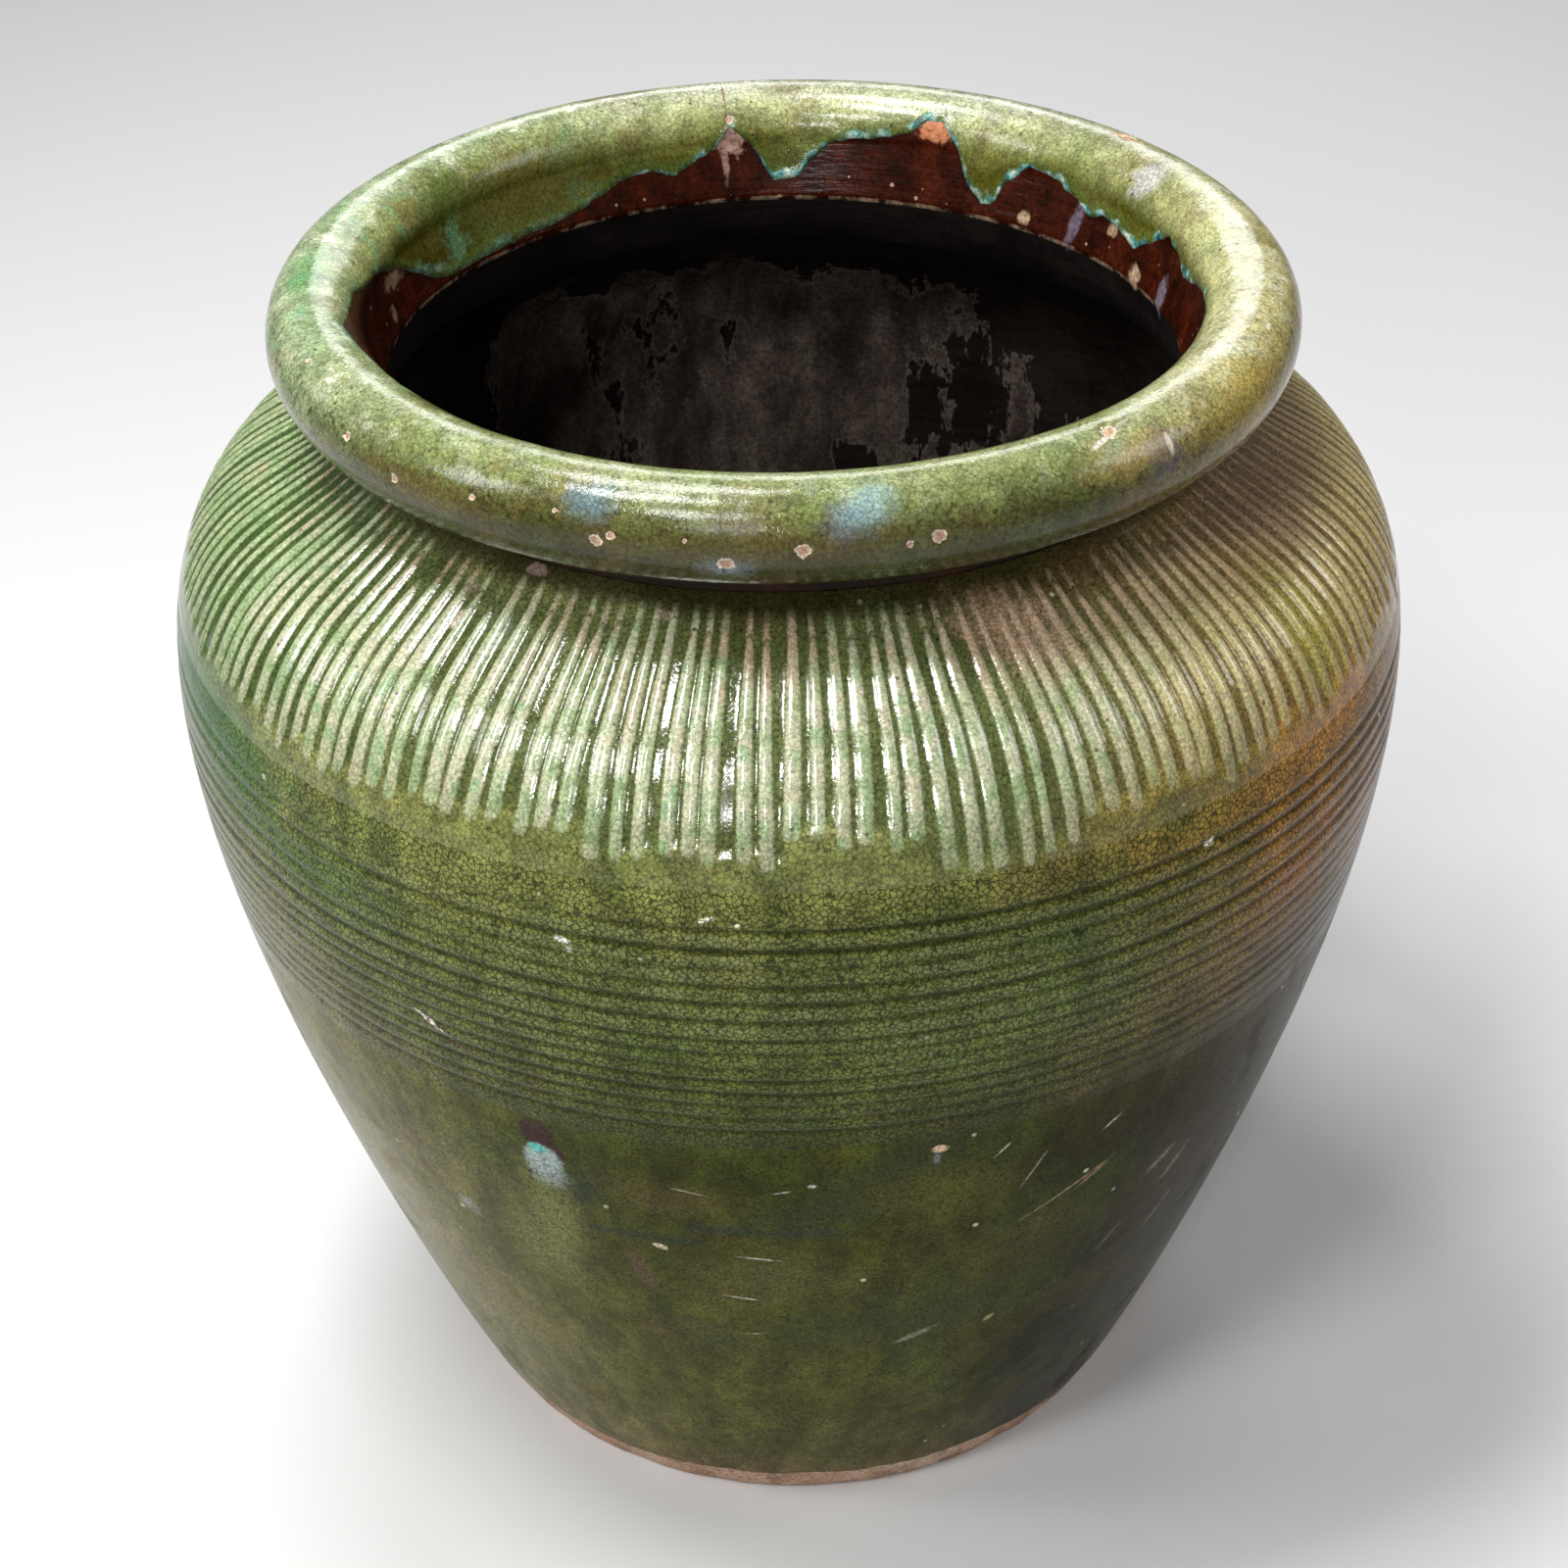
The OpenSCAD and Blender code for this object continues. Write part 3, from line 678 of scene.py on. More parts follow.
bodyMarks = [  # azimuth and height in degrees and mm, half length and half width in mm
    {"at": (-24.2, 290), "size": (8, 10), "tone": "3a1f24", "much": 0.9, "ragged": 0.25, "soft": 0.2},
    {"at": (-22.6, 279), "size": (3, 7), "tilt": 12, "tone": "3a1f24", "much": 0.8, "ragged": 0.3},
    {"at": (-24.4, 271), "size": (8.5, 10), "tone": "a3b3b0", "much": 0.85, "ragged": 0.4, "soft": 0.25},
    {"at": (-24.0, 263), "size": (8, 9), "tilt": -10, "tone": "8d999c", "much": 0.75, "ragged": 0.5, "soft": 0.45},
    {"at": (-24.6, 279), "size": (4, 3), "tone": "57b3ac", "much": 0.85, "ragged": 0.6},
    {"at": (-25.0, 238), "size": (13, 24), "tone": "7d8050", "much": 0.42, "ragged": 0.5, "soft": 0.8},
    {"at": (-27.0, 205), "size": (17, 22), "tone": "7a7a50", "much": 0.4, "ragged": 0.6, "soft": 0.9},
    {"at": (-36.5, 212), "size": (5, 5), "tone": "9a9a95", "much": 0.6, "ragged": 0.8, "soft": 0.6},
    {"at": (-52, 170), "size": (30, 60), "tone": "8d8468", "much": 0.5, "ragged": 0.5, "soft": 0.9},
    {"at": (-40, 120), "size": (34, 40), "tone": "7d7650", "much": 0.45, "ragged": 0.5, "soft": 0.9},
    {"at": (-56, 320), "size": (45, 55), "tone": "7b6f45", "much": 0.4, "ragged": 0.6, "soft": 0.8},
    {"at": (-45, 395), "size": (34, 14), "tone": "46652c", "much": 0.55, "ragged": 0.9, "soft": 0.8},
    {"at": (-66, 425), "size": (75, 17), "tone": "2f5c22", "much": 0.85, "ragged": 0.7, "soft": 0.6},
    {"at": (-58, 402), "size": (40, 14), "tone": "385a24", "much": 0.7, "ragged": 0.8, "soft": 0.7},
    {"at": (-15, 303), "size": (60, 8), "tone": "46502a", "much": 0.4, "ragged": 0.8, "soft": 0.8},
    {"at": (10, 285), "size": (38, 12), "tilt": 22, "tone": "333a24", "much": 0.7, "ragged": 0.6, "soft": 0.7},
    {"at": (2, 255), "size": (30, 9), "tilt": 8, "tone": "2f3a27", "much": 0.6, "ragged": 0.8, "soft": 0.8},
    {"at": (14, 262), "size": (26, 18), "tone": "60602f", "much": 0.35, "ragged": 0.6, "soft": 0.7},
    {"at": (24, 205), "size": (40, 26), "tone": "50502a", "much": 0.35, "ragged": 0.7, "soft": 0.8},
    {"at": (-12, 262), "size": (26, 10), "tone": "584c2e", "much": 0.4, "ragged": 0.7, "soft": 0.7},
    {"at": (-3, 205), "size": (30, 18), "tone": "62613a", "much": 0.4, "ragged": 0.7, "soft": 0.8},
    {"at": (12, 165), "size": (50, 20), "tone": "343c26", "much": 0.55, "ragged": 0.8, "soft": 0.8},
    {"at": (-10, 155), "size": (20, 9), "tilt": -25, "tone": "33402a", "much": 0.5, "ragged": 0.8, "soft": 0.7},
    {"at": (-16.5, 205), "size": (4, 16), "tilt": 14, "tone": "5d4a3c", "much": 0.6, "ragged": 0.7, "soft": 0.6},
    {"at": (43, 200), "size": (30, 60), "tone": "3a2c1e", "much": 0.6, "ragged": 0.6, "soft": 0.9},
    {"at": (56, 240), "size": (40, 70), "tone": "3a3128", "much": 0.7, "ragged": 0.5, "soft": 0.9},
    {"at": (-13.9, 225.5), "size": (3.2, 1.6), "tilt": -20, "tone": "e3cdb4", "ragged": 0.4, "rough": 0.6},
    {"at": (12.8, 292), "size": (3.4, 2.2), "tone": "e8c3a2", "ragged": 0.4, "rough": 0.6},
    {"at": (12.6, 286), "size": (1.4, 4), "tone": "7f8285", "much": 0.6, "soft": 0.7},
    {"at": (-19, 406), "size": (3, 1.1), "tilt": -12, "tone": "e0ddd2", "ragged": 0.8, "rough": 0.5},
    {"at": (-18.6, 402), "size": (1.6, 1.8), "tone": "b4b8ae", "much": 0.6, "ragged": 1.0},
    {"at": (-33, 339), "size": (9, 1.3), "tilt": -32, "tone": "e4dccb", "ragged": 0.9, "rough": 0.5},
    {"at": (-31.5, 334), "size": (12, 1.2), "tilt": -26, "tone": "5b4630", "ragged": 0.8},
    {"at": (-7, 423), "size": (3.6, 1.1), "tilt": 15, "tone": "f0ead2", "ragged": 0.8, "rough": 0.5},
    {"at": (-4.5, 421), "size": (1.6, 0.9), "tone": "efe6c6", "ragged": 0.6, "rough": 0.5},
    {"at": (37, 418), "size": (3, 1.8), "tone": "efe7d6", "ragged": 0.9, "rough": 0.5},
    {"at": (-31, 517), "size": (4.5, 1.8), "tone": "ae9284", "much": 0.7, "ragged": 0.9, "rough": 0.5},
    {"at": (-38, 508), "size": (3, 1.8), "tone": "a08a78", "much": 0.4, "ragged": 1.0, "soft": 0.6},
    {"at": (-37, 500), "size": (3, 2), "tone": "cfc2b0", "much": 0.7, "ragged": 1.0},
    {"at": (-14, 512), "size": (3, 1.6), "tone": "a08a7c", "much": 0.5, "ragged": 1.0, "soft": 0.5},
    {"at": (24.6, 503), "size": (20, 8), "tilt": -14, "tone": "b8947c", "much": 0.5, "ragged": 1.0, "soft": 0.7},
    {"at": (56, 469), "size": (16, 20), "tone": "9a9440", "much": 0.6, "ragged": 0.7, "soft": 0.7},
    {"at": (69, 500), "size": (40, 9), "tone": "7a6048", "much": 0.6, "ragged": 0.7, "soft": 0.7},
    {"at": (52, 378), "size": (24, 10), "tilt": 18, "tone": "8a5520", "much": 0.6, "ragged": 0.8, "soft": 0.7},
    {"at": (35, 440), "size": (26, 9), "tone": "46562a", "much": 0.5, "ragged": 0.8, "soft": 0.7},
    {"at": (24, 400), "size": (50, 14), "tone": "41552a", "much": 0.35, "ragged": 0.8, "soft": 0.7},
    # the sides that the photo doesn't show, listed in the same way
    {"at": (150, 300), "size": (24, 34), "tone": "747c40", "much": 0.35, "ragged": 0.6, "soft": 0.8},
    {"at": (172, 240), "size": (7, 12), "tone": "8c9a92", "much": 0.45, "ragged": 0.9, "soft": 0.8},
    {"at": (-150, 390), "size": (60, 20), "tone": "3c5c26", "much": 0.6, "ragged": 0.8, "soft": 0.7},
    {"at": (-120, 210), "size": (40, 30), "tone": "6f6338", "much": 0.5, "ragged": 0.7, "soft": 0.8},
    {"at": (120, 180), "size": (45, 24), "tone": "33402a", "much": 0.5, "ragged": 0.7, "soft": 0.8},
    {"at": (-100, 330), "size": (3.4, 2.2), "tone": "e0c6a8", "ragged": 0.5, "rough": 0.6},
    {"at": (140, 410), "size": (4, 2), "tilt": 20, "tone": "e6dcc2", "ragged": 0.8, "rough": 0.5},
]
bodyScratches = [  # azimuth, height, half length, half width, tilt, tone
    (-4, 222, 7.5, 0.45, -8, "e8e6da"), (-6, 190, 6.5, 0.5, -10, "cfd0b8"), (-10.2, 268, 7, 0.35, -12, "a8a68e"),
    (-1.5, 271, 3.6, 0.4, 14, "d9d8cc"), (1.2, 275, 1.6, 1.0, 0, "cfd2cc"), (22.6, 262, 12, 0.5, 66, "9a9a84"),
    (27, 238, 22, 0.7, 30, "9a8468"), (30, 243, 9, 1.2, 40, "8f7358"), (8, 252, 4.5, 0.6, 60, "1d2014"),
    (10.6, 193, 1.1, 6, 0, "26201a"), (30.6, 277, 5, 0.7, 38, "c8c6b0"), (19, 283, 4.5, 0.6, 50, "b9bba4"),
    (43, 215, 10, 2.0, 60, "6f6a60"), (40, 226, 8, 2.4, 40, "7b7468"), (36, 180, 9, 1.2, 55, "66665a"),
    (44, 178, 11, 1.3, 60, "66665e"), (22, 150, 3, 1.5, 50, "b4ab78"), (-5.2, 160, 4, 0.5, 0, "9ca07c"),
    (13, 150, 9, 1.6, 26, "8d9079"), (-52, 424, 1.6, 1.1, 0, "b6c4ae"), (-60, 415, 1.3, 0.9, 0, "c7d0bd"),
    (168, 210, 18, 0.6, 20, "a39a7c"), (-170, 330, 9, 0.5, -30, "d8d4c0"), (110, 260, 12, 0.6, 50, "a8a488"),
]


def glazeSurface(tree, shader, where, color, rough, look, pale=0.0):  # grain, cracks, specks and gloss
    place = where["Place"]
    grain = noise(tree, place, 0.0015, 3.0, 0.75)
    cells = useGroup(tree, crackleGroup, {"Place": place, "Size": 0.0026, "Width": 0.15})["Mask"]
    grainSpread = calc(tree, "MULTIPLY", calc(tree, "SUBTRACT", 1.0, pale), look["grain"])
    shade = calc(tree, "ADD", 1.0, calc(tree, "MULTIPLY", calc(tree, "MULTIPLY", calc(
        tree, "SUBTRACT", grain, 0.47), 6.0), grainSpread))
    shade = calc(tree, "MINIMUM", calc(tree, "MAXIMUM", shade, 0.25), 1.4)
    color = dim(tree, color, shade)
    color = blendTone(tree, calc(tree, "MULTIPLY", cells, calc(tree, "MULTIPLY", calc(tree, "SUBTRACT", 1.0, pale), look["cracks"])), color,
                      tone("20250c"))
    dark = useGroup(tree, speckGroup, {"Place": place, "Size": 0.006, "Share": 0.16, "Chance": look["dark"]})["Mask"]
    color = blendTone(tree, calc(tree, "MULTIPLY", dark, 0.65), color, tone("1f1a0d"))
    paleSpecks = useGroup(tree, speckGroup, {"Place": calcPlace(tree, place, 0.37), "Size": 0.016,
                                             "Share": 0.08, "Chance": look["specks"]})["Mask"]
    color = blendTone(tree, calc(tree, "MULTIPLY", paleSpecks, 0.8), color, tone("ddd6b8"))
    feed(tree, shader.inputs["Base Color"], color)
    worn = spread(tree, noise(tree, place, 0.03, 4.0, 0.6), 0.52, 0.7, 0.0, 0.16)
    gloss = calc(tree, "ADD", calc(tree, "ADD", rough, worn), calc(tree, "MULTIPLY", grain, 0.12))
    feed(tree, shader.inputs["Roughness"], gloss)
    peel = noise(tree, place, 0.0055, 2.0, 0.5)
    swell = noise(tree, place, 0.018, 2.0, 0.5)
    height = calc(tree, "ADD", calc(tree, "MULTIPLY", peel, 0.55), calc(tree, "MULTIPLY", swell, 1.6))
    soft = put(tree, "ShaderNodeBump", None, {"Height": height, "Strength": 0.6, "Distance": 0.0005}).outputs[0]
    fine = calc(tree, "SUBTRACT", grain, calc(tree, "MULTIPLY", cells, 0.5))
    bump = put(tree, "ShaderNodeBump", None, {"Height": fine, "Strength": look["bump"], "Distance": 0.00014,
                                              "Normal": soft})
    feed(tree, shader.inputs["Normal"], bump.outputs[0])
    shader.inputs["Specular IOR Level"].default_value = look["shine"]


def calcPlace(tree, place, step):  # the same place, moved, so that two patterns don't line up
    return put(tree, "ShaderNodeVectorMath", {"operation": "ADD"}, {0: place, 1: (step, step, step)}).outputs[0]


def heightRamp(tree, height, stops):  # stops are heights in mm
    return ramp(tree, calc(tree, "DIVIDE", height, 600.0), [(h / 600, code) for h, code in stops])


bodyLooks = {  # heights in mm that a piece covers, and how its glaze looks
    "combedShoulder": {"low": bodyParts["combLow"], "high": 530, "shine": 0.7, "gloss": 0.04, "grain": 0.7,
                       "cracks": 0.5, "specks": 0.1, "dark": 0.5, "bump": 0.25, "patches": 0.35},
    "ringedBelly": {"low": bodyParts["ringLow"], "high": bodyParts["combLow"], "shine": 0.09, "gloss": 0.12,
                    "grain": 1.0, "cracks": 0.85, "specks": 0.12, "dark": 0.5, "bump": 0.45, "patches": 0.35},
    "lowerGlaze": {"low": 0, "high": bodyParts["ringLow"], "shine": 0.04, "gloss": 0.17, "grain": 0.75,
                   "cracks": 0.35, "specks": 0.16, "dark": 0.5, "bump": 0.4, "patches": 0.22},
}


def makeBodyGlaze(name, look):
    material, tree, shader = newMaterial(name + "Coat")
    where = useGroup(tree, placeGroup)
    place = where["Place"]
    cloud = noise(tree, place, 0.11, 4.0, 0.55)
    drift = noise(tree, calcPlace(tree, place, 0.6), 0.032, 4.0, 0.6)
    warp = noise(tree, place, 0.009, 3.0, 0.6)
    swing = calc(tree, "SUBTRACT", cloud, 0.5)
    sway = calc(tree, "SUBTRACT", drift, 0.5)
    height = calc(tree, "ADD", where["Height"], calc(tree, "ADD", calc(tree, "MULTIPLY", swing, 60.0),
                                                     calc(tree, "MULTIPLY", sway, 24.0)))
    azimuth = calc(tree, "ADD", where["Azimuth"], calc(tree, "ADD", calc(tree, "MULTIPLY", swing, 34.0),
                                                       calc(tree, "MULTIPLY", sway, 14.0)))
    # the glaze's tone by height; the darker tones under the belly are partly the glaze's own colour and partly painted
    # shade
    color = heightRamp(tree, height, [
        (14, "70603a"), (40, "58562c"), (90, "4e4e23"), (180, "47471b"), (270, "383b12"), (310, "424617"),
        (350, "5a642e"), (415, "646834"), (437, "747640"), (500, "6c7044"), (522, "3c3018")])
    warmZone = heightRamp(tree, height, [
        (60, "2a2412"), (170, "2c2414"), (260, "3c301a"), (320, "644620"), (380, "9c5e1c"), (430, "b8761e"),
        (480, "ae9848"), (515, "7a5a3c")])
    warm = calc(tree, "MULTIPLY", spread(tree, azimuth, 18.0, 57.0), spread(tree, azimuth, 150.0, 118.0))
    color = blendTone(tree, calc(tree, "MULTIPLY", warm, 0.92), color, warmZone)
    greenZone = calc(tree, "MULTIPLY", spread(tree, azimuth, -44.0, -72.0), spread(tree, azimuth, -165.0, -120.0))
    color = blendTone(tree, calc(tree, "MULTIPLY", greenZone, 0.6), color, tone("3a5a20"))
    if name != "combedShoulder":  # painted greyish reflection makes the wall paler low on the left; darker and browner low on the right
        lowDown = spread(tree, where["Height"], 380.0, 250.0)
        leftPaintedSheen = calc(tree, "MULTIPLY", spread(tree, azimuth, -16.0, -44.0), spread(tree, azimuth, -130.0, -80.0))
        color = blendTone(tree, calc(tree, "MULTIPLY", calc(tree, "MULTIPLY", leftPaintedSheen, lowDown), 0.6), color,
                          tone("7d774a"))
        dusky = calc(tree, "MULTIPLY", spread(tree, azimuth, 10.0, 34.0), spread(tree, azimuth, 105.0, 66.0))
        color = blendTone(tree, calc(tree, "MULTIPLY", calc(tree, "MULTIPLY", dusky, lowDown), 0.82), color,
                          tone("201e0a"))
    # painted shade: the colour is dimmed on the jar's left and right flanks, most below the shoulder
    sideShade = calc(tree, "MAXIMUM", spread(tree, azimuth, 40.0, 75.0), spread(tree, azimuth, -60.0, -85.0))
    sideShade = calc(tree, "MULTIPLY", sideShade, spread(tree, calc(tree, "ABSOLUTE", azimuth), 125.0, 88.0))
    color = dim(tree, color, calc(tree, "SUBTRACT", 1.0, calc(tree, "MULTIPLY", sideShade, spread(
        tree, where["Height"], 465.0, 390.0, 0.03, 0.42))))
    patches = spread(tree, noise(tree, calcPlace(tree, place, 1.3), 0.05, 5.0, 0.6), 0.46, 0.62)
    color = blendTone(tree, calc(tree, "MULTIPLY", patches, look["patches"]), color, tone("3d5420"))
    brownish = spread(tree, noise(tree, calcPlace(tree, place, 2.1), 0.06, 5.0, 0.6), 0.5, 0.66)
    color = blendTone(tree, calc(tree, "MULTIPLY", brownish, look["patches"]), color, tone("5e4c26"))
    runs = put(tree, "ShaderNodeMapping", None, {"Vector": place, "Scale": (1.0, 1.0, 0.22)}).outputs[0]
    streaks = noise(tree, runs, 0.016, 3.0, 0.55)
    color = dim(tree, color, spread(tree, streaks, 0.32, 0.68, 0.72, 1.22))
    mottle = noise(tree, calcPlace(tree, place, 2.9), 0.008, 4.0, 0.62)
    color = dim(tree, color, spread(tree, mottle, 0.34, 0.66, 0.82, 1.18))
    pale = 0.0
    if name == "ringedBelly":  # dark glaze in the ring cuts, paler greyish lands between them
        ringCut = attribute(tree, "ringCut")
        ringZone = calc(tree, "MULTIPLY", spread(tree, where["Height"], 302.0, 316.0),
                        spread(tree, where["Height"], 424.0, 414.0))
        land = calc(tree, "MULTIPLY", ringZone, spread(tree, ringCut, 0.4, 0.05))
        landTone = blendTone(tree, warm, tone("737a50"), tone("8c6430"))
        landShare = calc(tree, "MULTIPLY", calc(tree, "MULTIPLY", land, spread(tree, drift, 0.35, 0.65, 0.1, 0.6)),
                         spread(tree, where["Height"], 310.0, 380.0, 0.3, 1.0))
        color = blendTone(tree, landShare, color, landTone)
        cutTone = blendTone(tree, warm, tone("262c0a"), tone("3a2008"))
        color = blendTone(tree, calc(tree, "MULTIPLY", spread(tree, ringCut, 0.03, 0.95), 0.85), color, cutTone)
    if name == "combedShoulder":  # the ridges are thinly glazed and pale, the cuts are pooled and dark
        ridge = attribute(tree, "ridge")
        combCut = attribute(tree, "combCut")
        tint = noise(tree, calcPlace(tree, place, 3.3), 0.02, 3.0, 0.6)
        ridgeTone = ramp(tree, tint, [(0.36, "8a9f74"), (0.46, "a8b490"), (0.55, "bcb79c"), (0.66, "8fa880")])
        ridgeTone = blendTone(tree, calc(tree, "MULTIPLY", spread(tree, azimuth, 20.0, 58.0), 0.8), ridgeTone,
                              tone("c4ac74"))
        ridgeTone = blendTone(tree, calc(tree, "MULTIPLY", spread(tree, azimuth, -52.0, -80.0), 0.6), ridgeTone,
                              tone("7c9462"))
        topPink = calc(tree, "MULTIPLY", spread(tree, height, 484.0, 508.0),
                       spread(tree, noise(tree, calcPlace(tree, place, 4.1), 0.03, 3.0, 0.6), 0.46, 0.6))
        topPink = calc(tree, "MAXIMUM", topPink, calc(tree, "MULTIPLY", spread(tree, height, 484.0, 506.0),
                                                      spread(tree, azimuth, 6.0, 26.0)))
        ridgeTone = blendTone(tree, calc(tree, "MULTIPLY", topPink, 0.7), ridgeTone, tone("b09078"))
        cutTone = blendTone(tree, spread(tree, azimuth, -30.0, -60.0), tone("424e28"), tone("294217"))
        color = blendTone(tree, calc(tree, "MULTIPLY", spread(tree, combCut, 0.2, 0.9), 0.65), color,
                          blendTone(tree, warm, cutTone, tone("6a502c")))
        pale = calc(tree, "MULTIPLY", spread(tree, ridge, 0.0, 0.6), 0.88)
        pale = calc(tree, "MULTIPLY", pale, spread(tree, where["Height"], 446.0, 466.0, 0.62, 1.0))
        color = blendTone(tree, pale, color, ridgeTone)
        pale = calc(tree, "MULTIPLY", pale, 0.45)
        # a dark band just under the crease: partly dark glaze, partly painted shadow under the rim
        color = blendTone(tree, calc(tree, "MULTIPLY", spread(tree, where["Height"], 511.0, 517.0), 0.6), color,
                          blendTone(tree, drift, tone("35421f"), tone("4a3a26")))
    rough = calc(tree, "MULTIPLY", 1.0, look["gloss"])
    near = [m for m in bodyMarks if look["low"] - m["size"][1] * 2 < m["at"][1] < look["high"] + m["size"][1] * 2]
    color, rough = addMarks(tree, color, rough, where, warp, near, where["Height"])
    scratches = [{"at": (a, h), "size": (l, w), "tilt": t, "tone": c, "much": 0.75, "ragged": 0.8, "soft": 0.5}
                 for a, h, l, w, t, c in bodyScratches if look["low"] - l < h < look["high"] + l]
    color, rough = addMarks(tree, color, rough, where, noise(tree, place, 0.003, 2.0), scratches, where["Height"])
    if name == "lowerGlaze":  # a thick dark run whose lower edge steps down across the front, and the foot's edge
        runHeight = calc(tree, "ADD", where["Height"], calc(tree, "MULTIPLY", swing, 16.0))
        for run in darkRuns:
            band = calc(tree, "MULTIPLY", spread(tree, where["Azimuth"], run["from"] - 1.5, run["from"] + 1.5),
                        spread(tree, where["Azimuth"], run["to"] + 1.5, run["to"] - 1.5))
            off = calc(tree, "ABSOLUTE", calc(tree, "SUBTRACT", runHeight, run["height"]))
            line = calc(tree, "MULTIPLY", band, spread(tree, off, run["thick"], 0.0))
            color = blendTone(tree, calc(tree, "MULTIPLY", line, 0.6), color, tone("2b3630"))
        edge = attribute(tree, "edge")
        color = blendTone(tree, calc(tree, "MULTIPLY", spread(tree, edge, 0.5, 0.95), 0.8), color, tone("6a3a20"))
    glazeSurface(tree, shader, where, color, rough, look, pale)
    return material


darkRuns = [{"from": -22.5, "to": -19.5, "height": 256.0, "thick": 18.0},
            {"from": -21.0, "to": -10.0, "height": 229.0, "thick": 5.0},
            {"from": -11.0, "to": 4.0, "height": 240.0, "thick": 6.0}]
for piece in (combedShoulder, ringedBelly, lowerGlaze):
    piece.data.materials.append(makeBodyGlaze(piece.name, bodyLooks[piece.name]))
print("body glaze made")


# ---- green glaze of the rim, placed by azimuth and by the angle round the roll

rimMarks = [
    {"at": (-20, 45), "size": (9, 8), "tone": "5c7788", "much": 0.6, "ragged": 0.9, "soft": 0.7},
    {"at": (8, 48), "size": (11, 8), "tilt": 40, "tone": "8fb0b6", "much": 0.55, "ragged": 0.9, "soft": 0.7},
    {"at": (5.5, 32), "size": (7, 7), "tone": "6b8090", "much": 0.45, "ragged": 0.9, "soft": 0.8},
    {"at": (42, 29), "size": (11, 9), "tilt": 40, "tone": "4f4f5c", "much": 0.75, "ragged": 1.0, "soft": 0.5},
    {"at": (43, 34), "size": (1.6, 4), "tone": "e6dccb", "much": 0.9, "ragged": 0.6},
    {"at": (36, 50), "size": (9, 4), "tilt": 20, "tone": "6d9c86", "much": 0.6, "ragged": 0.9, "soft": 0.6},
    {"at": (37, 70), "size": (12, 1.4), "tilt": 18, "tone": "efe6da", "much": 0.9, "ragged": 0.6},
    {"at": (38, 75), "size": (11, 2.5), "tilt": 18, "tone": "6b6a3c", "much": 0.7, "ragged": 0.6},
    {"at": (-6, -16), "size": (9, 4), "tone": "8292a0", "much": 0.5, "ragged": 0.8, "soft": 0.7},
    {"at": (59, 28), "size": (34, 12), "tone": "a08a3e", "much": 0.65, "ragged": 0.7, "soft": 0.7},
    {"at": (38, 40), "size": (22, 8), "tone": "a98c52", "much": 0.5, "ragged": 0.8, "soft": 0.7},
    {"at": (128, 80), "size": (7, 4), "tone": "d09a72", "much": 0.8, "ragged": 0.8, "soft": 0.4},
    {"at": (118, 130), "size": (8, 10), "tone": "b9b3bb", "much": 0.55, "ragged": 1.0, "soft": 0.5},
    {"at": (-123, 155), "size": (26, 12), "tone": "3f4d14", "much": 0.75, "ragged": 0.6, "soft": 0.6},
    {"at": (-87, 81), "size": (24, 8), "tone": "4f8a52", "much": 0.5, "ragged": 0.8, "soft": 0.7},
    {"at": (-172, 95), "size": (18, 10), "tone": "b9b9a8", "much": 0.5, "ragged": 0.9, "soft": 0.7},
    {"at": (-138, 175), "size": (30, 14), "tone": "57501a", "much": 0.7, "ragged": 0.6, "soft": 0.7},
    {"at": (-104, 196), "size": (10, 4), "tone": "8c7a60", "much": 0.6, "ragged": 1.0, "soft": 0.4},
    {"at": (98, 131), "size": (12, 8), "tone": "a8ac74", "much": 0.6, "ragged": 0.8, "soft": 0.7},
    {"at": (-40, 10), "size": (26, 7), "tone": "6c5a34", "much": 0.5, "ragged": 0.8, "soft": 0.7},
    {"at": (0, 8), "size": (70, 7), "tone": "5e5330", "much": 0.45, "ragged": 0.9, "soft": 0.7},
]
rimScratches = [
    (-172, 118, 0.5, 12, 0, "6e5138"), (-150, 100, 3, 0.8, 20, "e8e4d4"), (-140, 108, 2.4, 0.8, -10, "ece8da"),
    (-160, 92, 4, 0.7, 5, "e4dfd0"), (-120, 95, 3, 1.0, 10, "e0d8c4"), (70, 60, 2.2, 1.0, 0, "f0ead8"),
    (84, 52, 2.4, 0.9, 20, "efe8d0"), (-60, 62, 1.6, 1.2, 0, "d9d8c2"), (100, 88, 5, 0.8, 15, "dcd6c8"),
]


